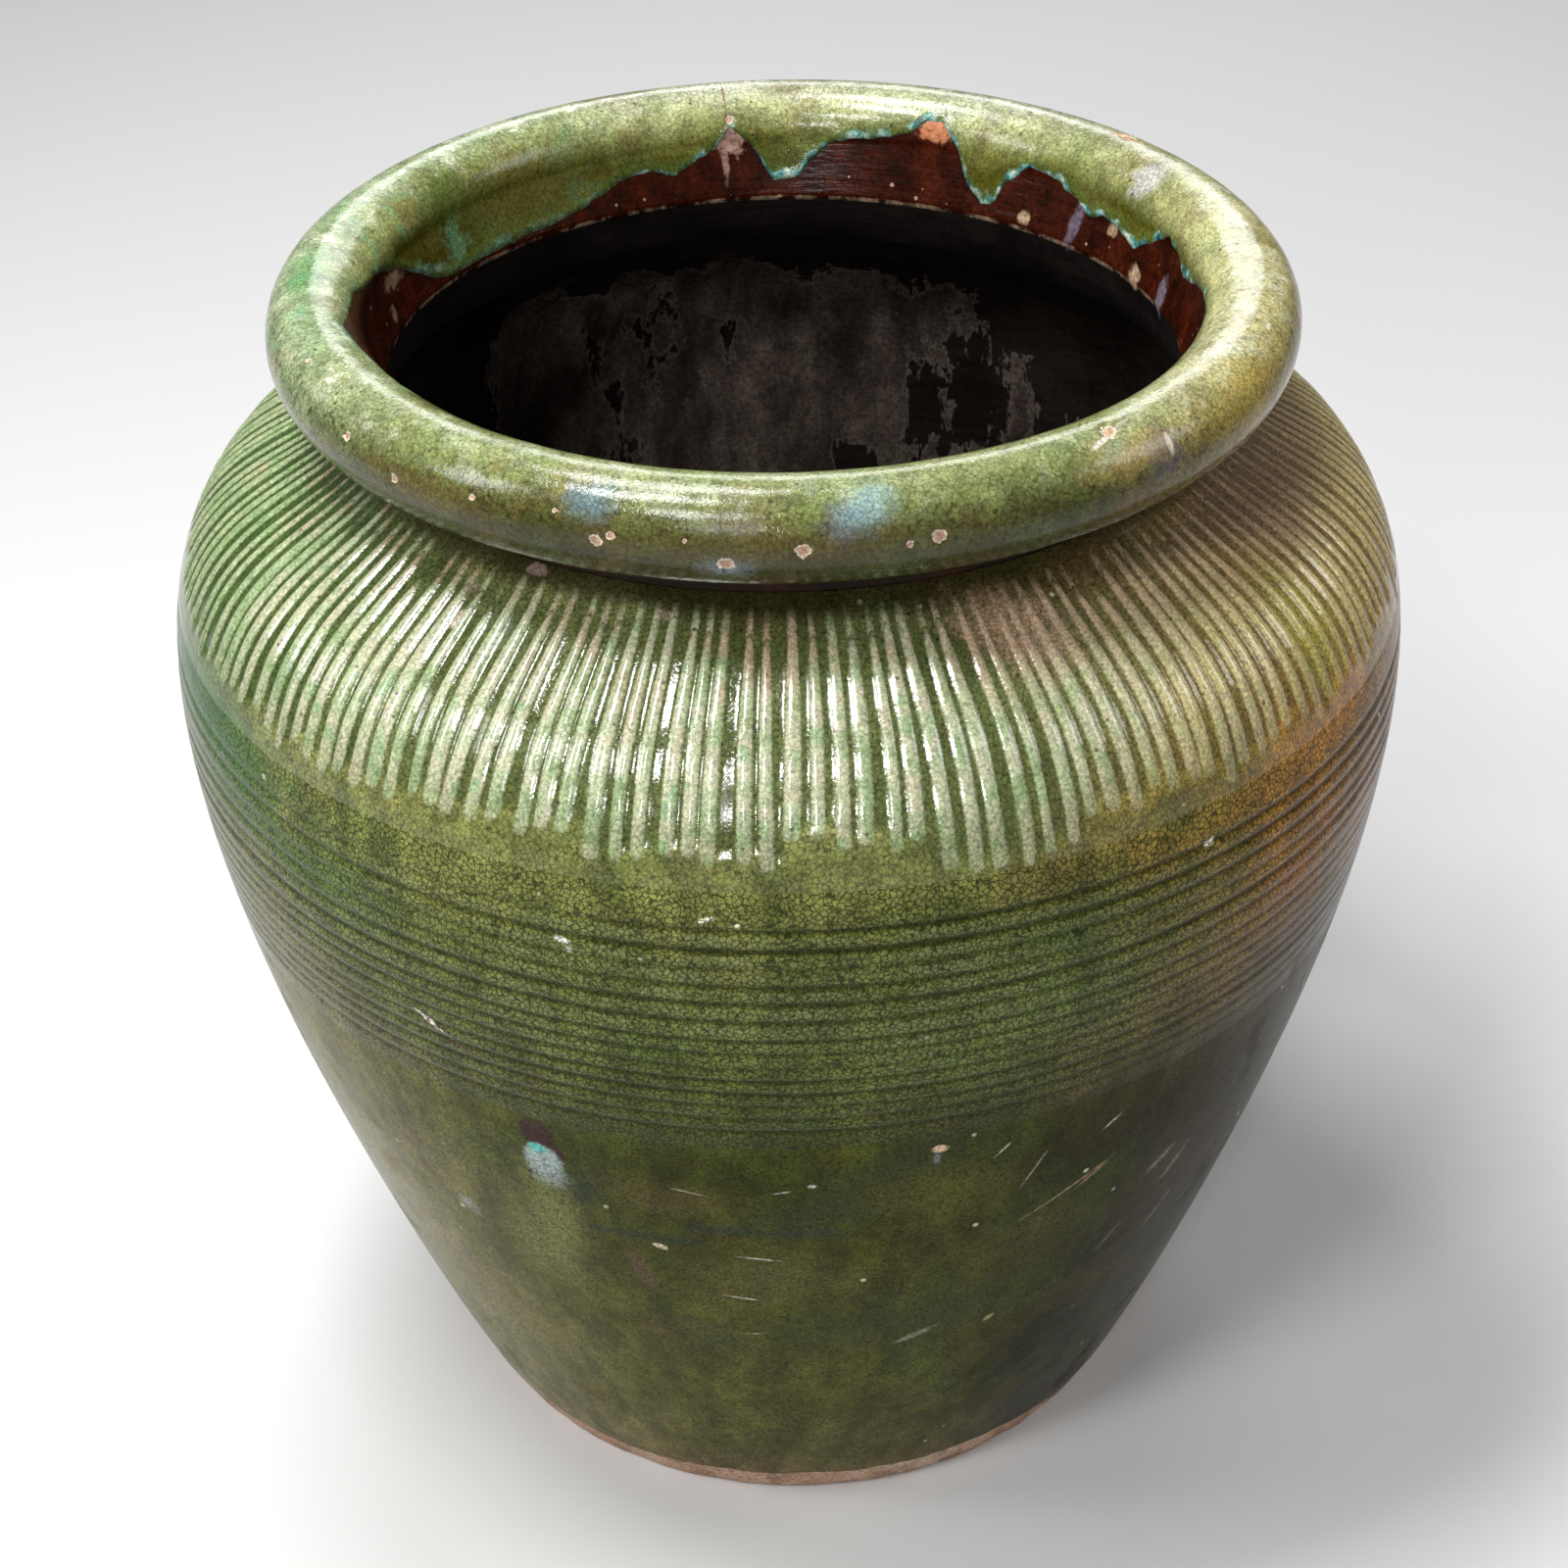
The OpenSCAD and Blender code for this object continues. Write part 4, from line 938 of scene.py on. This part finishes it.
def makeRimMaterial():
    material, tree, shader = newMaterial("greenRimGlaze")
    where = useGroup(tree, placeGroup)
    place = where["Place"]
    cloud = noise(tree, place, 0.07, 4.0, 0.55)
    drift = noise(tree, calcPlace(tree, place, 0.6), 0.022, 4.0, 0.6)
    warp = noise(tree, place, 0.006, 3.0, 0.6)
    swing = calc(tree, "SUBTRACT", cloud, 0.5)
    sway = calc(tree, "SUBTRACT", drift, 0.5)
    # the angle runs on past 180 degrees where the coat goes down the neck
    tube = put(tree, "ShaderNodeMath", {"operation": "WRAP"}, {0: where["Tube"], 1: 234.0, 2: -126.0}).outputs[0]
    around = calc(tree, "ADD", tube, calc(tree, "ADD", calc(tree, "MULTIPLY", swing, 60.0),
                                          calc(tree, "MULTIPLY", sway, 40.0)))
    tubeShare = calc(tree, "DIVIDE", calc(tree, "ADD", around, 126.0), 360.0)

    def tubeRamp(stops):
        return ramp(tree, tubeShare, [((angle + 126) / 360, code) for angle, code in stops])

    frontTone = tubeRamp([(-110, "2c2a0c"), (-20, "38371a"), (15, "484b25"), (48, "6c7443"), (90, "838c60"),
                          (130, "60662e"), (185, "4a480f")])
    leftTone = tubeRamp([(-60, "636c3e"), (10, "838e64"), (60, "8f9e7a"), (100, "7c8e66"), (150, "8a8e54"),
                         (185, "46450f")])
    rightTone = tubeRamp([(-60, "6c5028"), (10, "948048"), (50, "ada468"), (95, "a8a47e"), (150, "aeae78"),
                          (185, "54551d")])
    backTone = tubeRamp([(-60, "666c4c"), (60, "888c72"), (95, "969980"), (130, "a2a678"), (165, "72743c"), (185, "474612")])
    azimuth = calc(tree, "ADD", where["Azimuth"], calc(tree, "MULTIPLY", swing, 40.0))
    left = calc(tree, "MULTIPLY", spread(tree, azimuth, -40.0, -75.0), spread(tree, azimuth, -165.0, -120.0))
    right = calc(tree, "MULTIPLY", spread(tree, azimuth, 35.0, 65.0), spread(tree, azimuth, 140.0, 100.0))
    back = spread(tree, calc(tree, "ABSOLUTE", azimuth), 110.0, 150.0)
    color = blendTone(tree, back, frontTone, backTone)
    color = blendTone(tree, left, color, leftTone)
    color = blendTone(tree, right, color, rightTone)
    patches = spread(tree, noise(tree, calcPlace(tree, place, 1.3), 0.034, 5.0, 0.6), 0.46, 0.62)
    color = blendTone(tree, calc(tree, "MULTIPLY", patches, 0.25), color, tone("566a3c"))
    brownish = spread(tree, noise(tree, calcPlace(tree, place, 2.1), 0.03, 5.0, 0.6), 0.5, 0.66)
    color = blendTone(tree, calc(tree, "MULTIPLY", brownish, 0.4), color, tone("6a5430"))
    mottle = noise(tree, calcPlace(tree, place, 2.9), 0.011, 5.0, 0.65)
    color = dim(tree, color, spread(tree, mottle, 0.34, 0.66, 0.78, 1.22))
    speckled = spread(tree, noise(tree, calcPlace(tree, place, 6.1), 0.005, 4.0, 0.65), 0.52, 0.68)
    color = blendTone(tree, calc(tree, "MULTIPLY", speckled, spread(tree, tube, 60.0, 15.0, 0.3, 0.8)), color,
                      tone("3f351a"))
    pepper = calc(tree, "MULTIPLY", spread(tree, noise(tree, calcPlace(tree, place, 5.7), 0.0026, 3.0, 0.6), 0.55, 0.63),
                  spread(tree, tube, 75.0, 20.0, 0.15, 0.75))
    color = blendTone(tree, pepper, color, tone("2a240e"))
    # pale whitish patches on the crest: partly frosted glaze, partly painted reflection, stronger at the sides and
    # back than in front
    frostAndSheen = spread(tree, noise(tree, calcPlace(tree, place, 7.3), 0.016, 5.0, 0.68), 0.49, 0.66)
    crest = calc(tree, "MULTIPLY", spread(tree, tube, 20.0, 60.0), spread(tree, tube, 150.0, 115.0))
    away = spread(tree, calc(tree, "ABSOLUTE", where["Azimuth"]), 25.0, 70.0, 0.4, 1.0)
    color = blendTone(tree, calc(tree, "MULTIPLY", calc(tree, "MULTIPLY", frostAndSheen, crest),
                                 calc(tree, "MULTIPLY", away, 0.7)), color, tone("b8bba0"))
    mossy = spread(tree, noise(tree, calcPlace(tree, place, 8.7), 0.02, 5.0, 0.65), 0.53, 0.66)
    color = blendTone(tree, calc(tree, "MULTIPLY", mossy, calc(tree, "MULTIPLY", left, 0.5)), color, tone("5f9470"))
    # the run edge inside: deep green where it pools, then a turquoise line
    edge = attribute(tree, "edge")
    pooled = calc(tree, "MULTIPLY", spread(tree, edge, 0.1, 0.5), 0.5)
    color = blendTone(tree, pooled, color, tone("3f5322"))
    lively = spread(tree, noise(tree, calcPlace(tree, place, 5.2), 0.012, 3.0, 0.6), 0.34, 0.54)
    farSide = calc(tree, "MAXIMUM", spread(tree, where["Azimuth"], 70.0, 88.0, 0.25, 1.0),
                   spread(tree, where["Azimuth"], -152.0, -160.0))
    lineStart = spread(tree, noise(tree, calcPlace(tree, place, 4.4), 0.016, 2.0, 0.5), 0.36, 0.62, 0.85, 0.3)
    lineStart = calc(tree, "SUBTRACT", lineStart, spread(tree, where["Height"], 556.0, 538.0, 0.0, 0.3))
    line = spread(tree, edge, lineStart, calc(tree, "ADD", lineStart, 0.3))
    line = calc(tree, "MULTIPLY", calc(tree, "MULTIPLY", line, lively), farSide)
    lineTone = ramp(tree, noise(tree, calcPlace(tree, place, 9.4), 0.007, 3.0, 0.6), [
        (0.36, "23494a"), (0.46, "3c8488"), (0.54, "86b8ae"), (0.64, "c4d4c6")])
    color = blendTone(tree, calc(tree, "MULTIPLY", line, 0.8), color, lineTone)
    height = calc(tree, "DIVIDE", tube, rollAngle)
    marks = [dict(m, at=(m["at"][0], m["at"][1] / rollAngle)) for m in rimMarks]
    rough = calc(tree, "MULTIPLY", 1.0, 0.07)
    color, rough = addMarks(tree, color, rough, where, warp, marks, height)
    scratches = [{"at": (a, t / rollAngle), "size": (l, w), "tilt": turn, "tone": c, "much": 0.8, "ragged": 0.8}
                 for a, t, l, w, turn, c in rimScratches]
    ragged = noise(tree, place, 0.003, 2.0)
    color, rough = addMarks(tree, color, rough, where, ragged, scratches, height)
    # chips show pinkish clay inside a pale broken border
    chip = calc(tree, "ADD", attribute(tree, "chip"), calc(tree, "MULTIPLY", calc(tree, "SUBTRACT", ragged, 0.5), 0.6))
    color = blendTone(tree, calc(tree, "MULTIPLY", spread(tree, chip, 0.52, 0.6), 0.85), color, tone("dccbb4"))
    color = blendTone(tree, calc(tree, "MULTIPLY", spread(tree, chip, 0.64, 0.74), 0.8), color, tone("a87c62"))
    glazeSurface(tree, shader, where, color, rough, rimLook)
    return material


rimLook = {"shine": 0.32, "grain": 0.42, "cracks": 0.4, "specks": 0.1, "dark": 0.9, "bump": 0.3}
rimGlaze.data.materials.append(makeRimMaterial())
print("rim glaze made")


# ---- brown slip inside, bare clay, joint slip and the slip in the crease

def makeBrownSlip():
    material, tree, shader = newMaterial("brownSlip")
    where = useGroup(tree, placeGroup)
    place = where["Place"]
    broad = noise(tree, place, 0.05, 5.0, 0.6)
    drift = noise(tree, calcPlace(tree, place, 0.9), 0.016, 4.0, 0.65)
    fine = noise(tree, place, 0.0022, 3.0, 0.7)
    lines = put(tree, "ShaderNodeMapping", None, {"Vector": place, "Scale": (1.0, 1.0, 7.0)}).outputs[0]
    fingers = noise(tree, lines, 0.03, 4.0, 0.6)
    color = ramp(tree, broad, [(0.3, "120b09"), (0.5, "211712"), (0.7, "2f231d")])
    color = blendTone(tree, 0.6, color, ramp(tree, fingers, [(0.35, "6a6a6a"), (0.65, "ffffff")]), "MULTIPLY")
    # scale that has partly peeled off the far wall
    middle = calc(tree, "ABSOLUTE", put(tree, "ShaderNodeMath", {"operation": "WRAP"},
                                        {0: calc(tree, "SUBTRACT", where["Azimuth"], 186.0), 1: 180.0,
                                         2: -180.0}).outputs[0])
    zone = calc(tree, "MULTIPLY", spread(tree, middle, 42.0, 16.0), spread(tree, where["Height"], 486.0, 436.0))
    upright = put(tree, "ShaderNodeMapping", None, {"Vector": place, "Scale": (1.0, 1.0, 0.5)}).outputs[0]
    patchy = calc(tree, "ADD", noise(tree, calcPlace(tree, upright, 2.7), 0.075, 6.0, 0.68),
                  calc(tree, "MULTIPLY", zone, 0.19))
    blocky = put(tree, "ShaderNodeTexVoronoi", {"feature": "F1", "distance": "CHEBYCHEV"},
                 {"Vector": upright, "Scale": 38.0}).outputs["Color"]
    patchy = calc(tree, "ADD", patchy, calc(tree, "MULTIPLY", put(tree, "ShaderNodeSeparateColor", None,
                                                                  {0: blocky}).outputs[0], 0.07))
    scale = calc(tree, "MULTIPLY", spread(tree, patchy, 0.64, 0.66), spread(tree, where["Height"], 500.0, 480.0))
    weathered = noise(tree, upright, 0.022, 5.0, 0.7)
    scaleTone = ramp(tree, weathered, [(0.34, "2e2520"), (0.48, "50443c"), (0.62, "6e6157"), (0.72, "8c7f74")])
    color = blendTone(tree, calc(tree, "MULTIPLY", scale, 0.85), color, scaleTone)
    patchEdge = calc(tree, "MULTIPLY", spread(tree, patchy, 0.635, 0.65), spread(tree, patchy, 0.68, 0.66))
    color = blendTone(tree, calc(tree, "MULTIPLY", patchEdge, calc(tree, "MULTIPLY", scale, 0.35)), color, tone("857a70"))
    # painted shade: the inner wall is dimmed towards the top, under the shoulder
    color = dim(tree, color, spread(tree, where["Height"], 470.0, 516.0, 1.0, 0.4))
    neck = spread(tree, where["Height"], 527.6, 529.0)
    neckTone = ramp(tree, drift, [(0.34, "1e0904"), (0.52, "371207"), (0.7, "4c1c0d")])
    color = blendTone(tree, neck, color, neckTone)
    dots = useGroup(tree, speckGroup, {"Place": place, "Size": 0.006, "Share": 0.16, "Chance": 0.3})["Mask"]
    color = blendTone(tree, calc(tree, "MULTIPLY", calc(tree, "MULTIPLY", dots, neck), 0.75), color, tone("c9a88c"))
    off = calc(tree, "ABSOLUTE", calc(tree, "SUBTRACT", where["Height"], 528.6))
    lip = calc(tree, "MULTIPLY", spread(tree, off, 1.5, 0.5), spread(tree, drift, 0.47, 0.58))
    color = blendTone(tree, calc(tree, "MULTIPLY", lip, 0.85), color,
                      blendTone(tree, fine, tone("6b5440"), tone("b49a7e")))
    neckMarks = [
        {"at": (-172.4, 559), "size": (7, 10), "tone": "b08c7c", "much": 0.9, "ragged": 0.7, "soft": 0.2},
        {"at": (-171.5, 548), "size": (1.6, 10), "tone": "a58478", "much": 0.7, "ragged": 0.8},
        {"at": (156, 564), "size": (9, 5), "tone": "c4805a", "much": 0.9, "ragged": 0.7, "soft": 0.25},
        {"at": (129, 541), "size": (3.2, 12), "tilt": 12, "tone": "6f6270", "much": 0.8, "ragged": 0.5},
        {"at": (113, 532), "size": (4, 5), "tone": "b29478", "much": 0.9, "ragged": 0.9},
        {"at": (121, 545), "size": (3.5, 3), "tone": "ad8e74", "much": 0.85, "ragged": 0.9},
        {"at": (139, 534), "size": (3, 3.4), "tone": "b59a7e", "much": 0.85, "ragged": 0.9},
        {"at": (104, 534), "size": (4, 8), "tone": "77707c", "much": 0.8, "ragged": 0.7},
        {"at": (-104, 549), "size": (9, 3), "tone": "9a8064", "much": 0.7, "ragged": 1.0},
        {"at": (-100, 538), "size": (3, 3), "tone": "a0846c", "much": 0.6, "ragged": 1.0},
    ]
    color, ignored = addMarks(tree, color, 0.3, where, noise(tree, place, 0.004, 3.0), neckMarks, where["Height"])
    color = blendTone(tree, 1.0, color, ramp(tree, fine, [(0.3, "9a9a9a"), (0.6, "ffffff")]), "MULTIPLY")
    feed(tree, shader.inputs["Base Color"], color)
    gloss = spread(tree, neck, 0.0, 1.0, spread(tree, broad, 0.3, 0.7, 0.5, 0.78), 0.24, soft=False)
    feed(tree, shader.inputs["Roughness"], calc(tree, "ADD", gloss, calc(tree, "MULTIPLY", scale, 0.1)))
    relief = calc(tree, "ADD", calc(tree, "MULTIPLY", fine, 0.3), calc(tree, "ADD", calc(tree, "MULTIPLY", scale, 0.9),
                                                                       calc(tree, "MULTIPLY", fingers, 1.2)))
    bump = put(tree, "ShaderNodeBump", None, {"Height": relief, "Strength": 0.7, "Distance": 0.0006})
    feed(tree, shader.inputs["Normal"], bump.outputs[0])
    shader.inputs["Specular IOR Level"].default_value = 0.2
    return material


def makeClay(name, under, middle, over, smudge):
    material, tree, shader = newMaterial(name)
    where = useGroup(tree, placeGroup)
    place = where["Place"]
    broad = noise(tree, place, 0.03, 5.0, 0.65)
    grit = noise(tree, place, 0.0016, 3.0, 0.7)
    color = ramp(tree, broad, [(0.32, under), (0.5, middle), (0.66, over)])
    stained = spread(tree, noise(tree, calcPlace(tree, place, 1.7), 0.014, 4.0, 0.65), 0.52, 0.66)
    color = blendTone(tree, calc(tree, "MULTIPLY", stained, 0.6), color, tone(smudge))
    color = blendTone(tree, 1.0, color, ramp(tree, grit, [(0.3, "8f8f8f"), (0.6, "ffffff")]), "MULTIPLY")
    sand = useGroup(tree, speckGroup, {"Place": place, "Size": 0.0035, "Share": 0.22})["Mask"]
    color = blendTone(tree, calc(tree, "MULTIPLY", sand, 0.5), color, tone("e3cdb4"))
    feed(tree, shader.inputs["Base Color"], color)
    feed(tree, shader.inputs["Roughness"], spread(tree, grit, 0.3, 0.7, 0.75, 0.95))
    relief = calc(tree, "ADD", grit, calc(tree, "MULTIPLY", noise(tree, place, 0.006, 3.0), 1.5))
    bump = put(tree, "ShaderNodeBump", None, {"Height": relief, "Strength": 0.8, "Distance": 0.0005})
    feed(tree, shader.inputs["Normal"], bump.outputs[0])
    return material


def makeCreaseSlip():
    material, tree, shader = newMaterial("creaseSlip")
    where = useGroup(tree, placeGroup)
    place = where["Place"]
    broad = noise(tree, place, 0.03, 4.0, 0.6)
    fine = noise(tree, place, 0.003, 3.0, 0.65)
    color = ramp(tree, broad, [(0.35, "1c0f05"), (0.5, "2c1808"), (0.64, "4a2410"), (0.75, "33300f")])
    color = blendTone(tree, 1.0, color, ramp(tree, fine, [(0.3, "8a8a8a"), (0.6, "ffffff")]), "MULTIPLY")
    feed(tree, shader.inputs["Base Color"], color)
    feed(tree, shader.inputs["Roughness"], spread(tree, fine, 0.3, 0.7, 0.2, 0.45))
    shader.inputs["Specular IOR Level"].default_value = 0.15
    bump = put(tree, "ShaderNodeBump", None, {"Height": fine, "Strength": 0.6, "Distance": 0.0005})
    feed(tree, shader.inputs["Normal"], bump.outputs[0])
    return material


innerSlip.data.materials.append(makeBrownSlip())
bareClay = makeClay("bareClay", "bc9276", "d8b094", "e8ccb2", "94705a")
jointSlip = makeClay("jointSlip", "a07a60", "b48c70", "c4a084", "86664e")
creaseSlip = makeCreaseSlip()
footClay.data.materials.append(bareClay)
for name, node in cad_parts.items():
    skinMaterial = jointSlip if name.endswith("luting") else bareClay
    if name in ("neck_collar", "neck_luting", "rim_luting", "rim_roll"):
        skinMaterial = creaseSlip
    node.data.materials.clear()
    node.data.materials.append(skinMaterial)
print("slip and clay made")


# ---- floor, lights and camera

bpy.ops.object.select_all(action="DESELECT")
bpy.ops.mesh.primitive_plane_add(size=16)
floor = bpy.context.object
floor.name = "floor"
floorMaterial, tree, shader = newMaterial("paleFloor")
shader.inputs["Base Color"].default_value = (0.68, 0.68, 0.68, 1)
shader.inputs["Roughness"].default_value = 0.9
shader.inputs["Specular IOR Level"].default_value = 0.1
dust = noise(tree, put(tree, "ShaderNodeTexCoord").outputs["Object"], 0.4, 3.0)
feed(tree, shader.inputs["Roughness"], spread(tree, dust, 0.3, 0.7, 0.85, 0.95))
floor.data.materials.append(floorMaterial)

lamps = {
    "overhead": {"at": (-0.35, 0.5, 2.35), "aim": (0, 0, 0.4), "size": (0.6, 0.6), "watts": 24},
    "overheadFront": {"at": (-0.6, -0.3, 2.35), "aim": (0, 0, 0.4), "size": (0.42, 0.55), "watts": 28},
    "frontHigh": {"at": (-0.6, -1.35, 2.15), "aim": (0, 0, 0.45), "size": (0.45, 0.36), "watts": 20},
    "frontLow": {"at": (-0.5, -2.5, 1.7), "aim": (0, 0, 0.45), "size": (0.34, 0.34), "watts": 15},
    "left": {"at": (-1.8, -0.6, 1.8), "aim": (0, 0, 0.4), "size": (0.5, 0.8), "watts": 17},
    "right": {"at": (2.0, -0.2, 1.7), "aim": (0, 0, 0.4), "size": (0.8, 0.8), "watts": 9},
    "back": {"at": (0.2, 2.7, 1.9), "aim": (0, 0, 0.5), "size": (1.8, 0.8), "watts": 22},
}
for name, lamp in lamps.items():
    data = bpy.data.lights.new(name, "AREA")
    data.shape = "RECTANGLE"
    data.size, data.size_y = lamp["size"]
    data.energy = lamp["watts"]
    light = bpy.data.objects.new(name, data)
    light.location = lamp["at"]
    light.rotation_euler = (Vector(lamp["aim"]) - Vector(lamp["at"])).to_track_quat("-Z", "Y").to_euler()
    bpy.context.collection.objects.link(light)

world = bpy.data.worlds.new("studio")
world.use_nodes = True
world.node_tree.nodes["Background"].inputs["Color"].default_value = (1, 1, 1, 1)
world.node_tree.nodes["Background"].inputs["Strength"].default_value = 0.14
bpy.context.scene.world = world
bpy.context.scene.view_settings.view_transform = "Standard"

view = {"at": (0, -1.256, 1.142), "pitch": 33.8, "yaw": -0.161, "roll": -1.094, "lens": 72}
cameraData = bpy.data.cameras.new("camera")
cameraData.lens = view["lens"]
cameraData.sensor_width = 36
camera = bpy.data.objects.new("camera", cameraData)
turn = (Matrix.Rotation(math.radians(-view["yaw"]), 4, "Z")
        @ Matrix.Rotation(math.radians(90 - view["pitch"]), 4, "X")
        @ Matrix.Rotation(math.radians(view["roll"]), 4, "Z"))
camera.matrix_world = Matrix.Translation(view["at"]) @ turn
bpy.context.collection.objects.link(camera)
bpy.context.scene.camera = camera
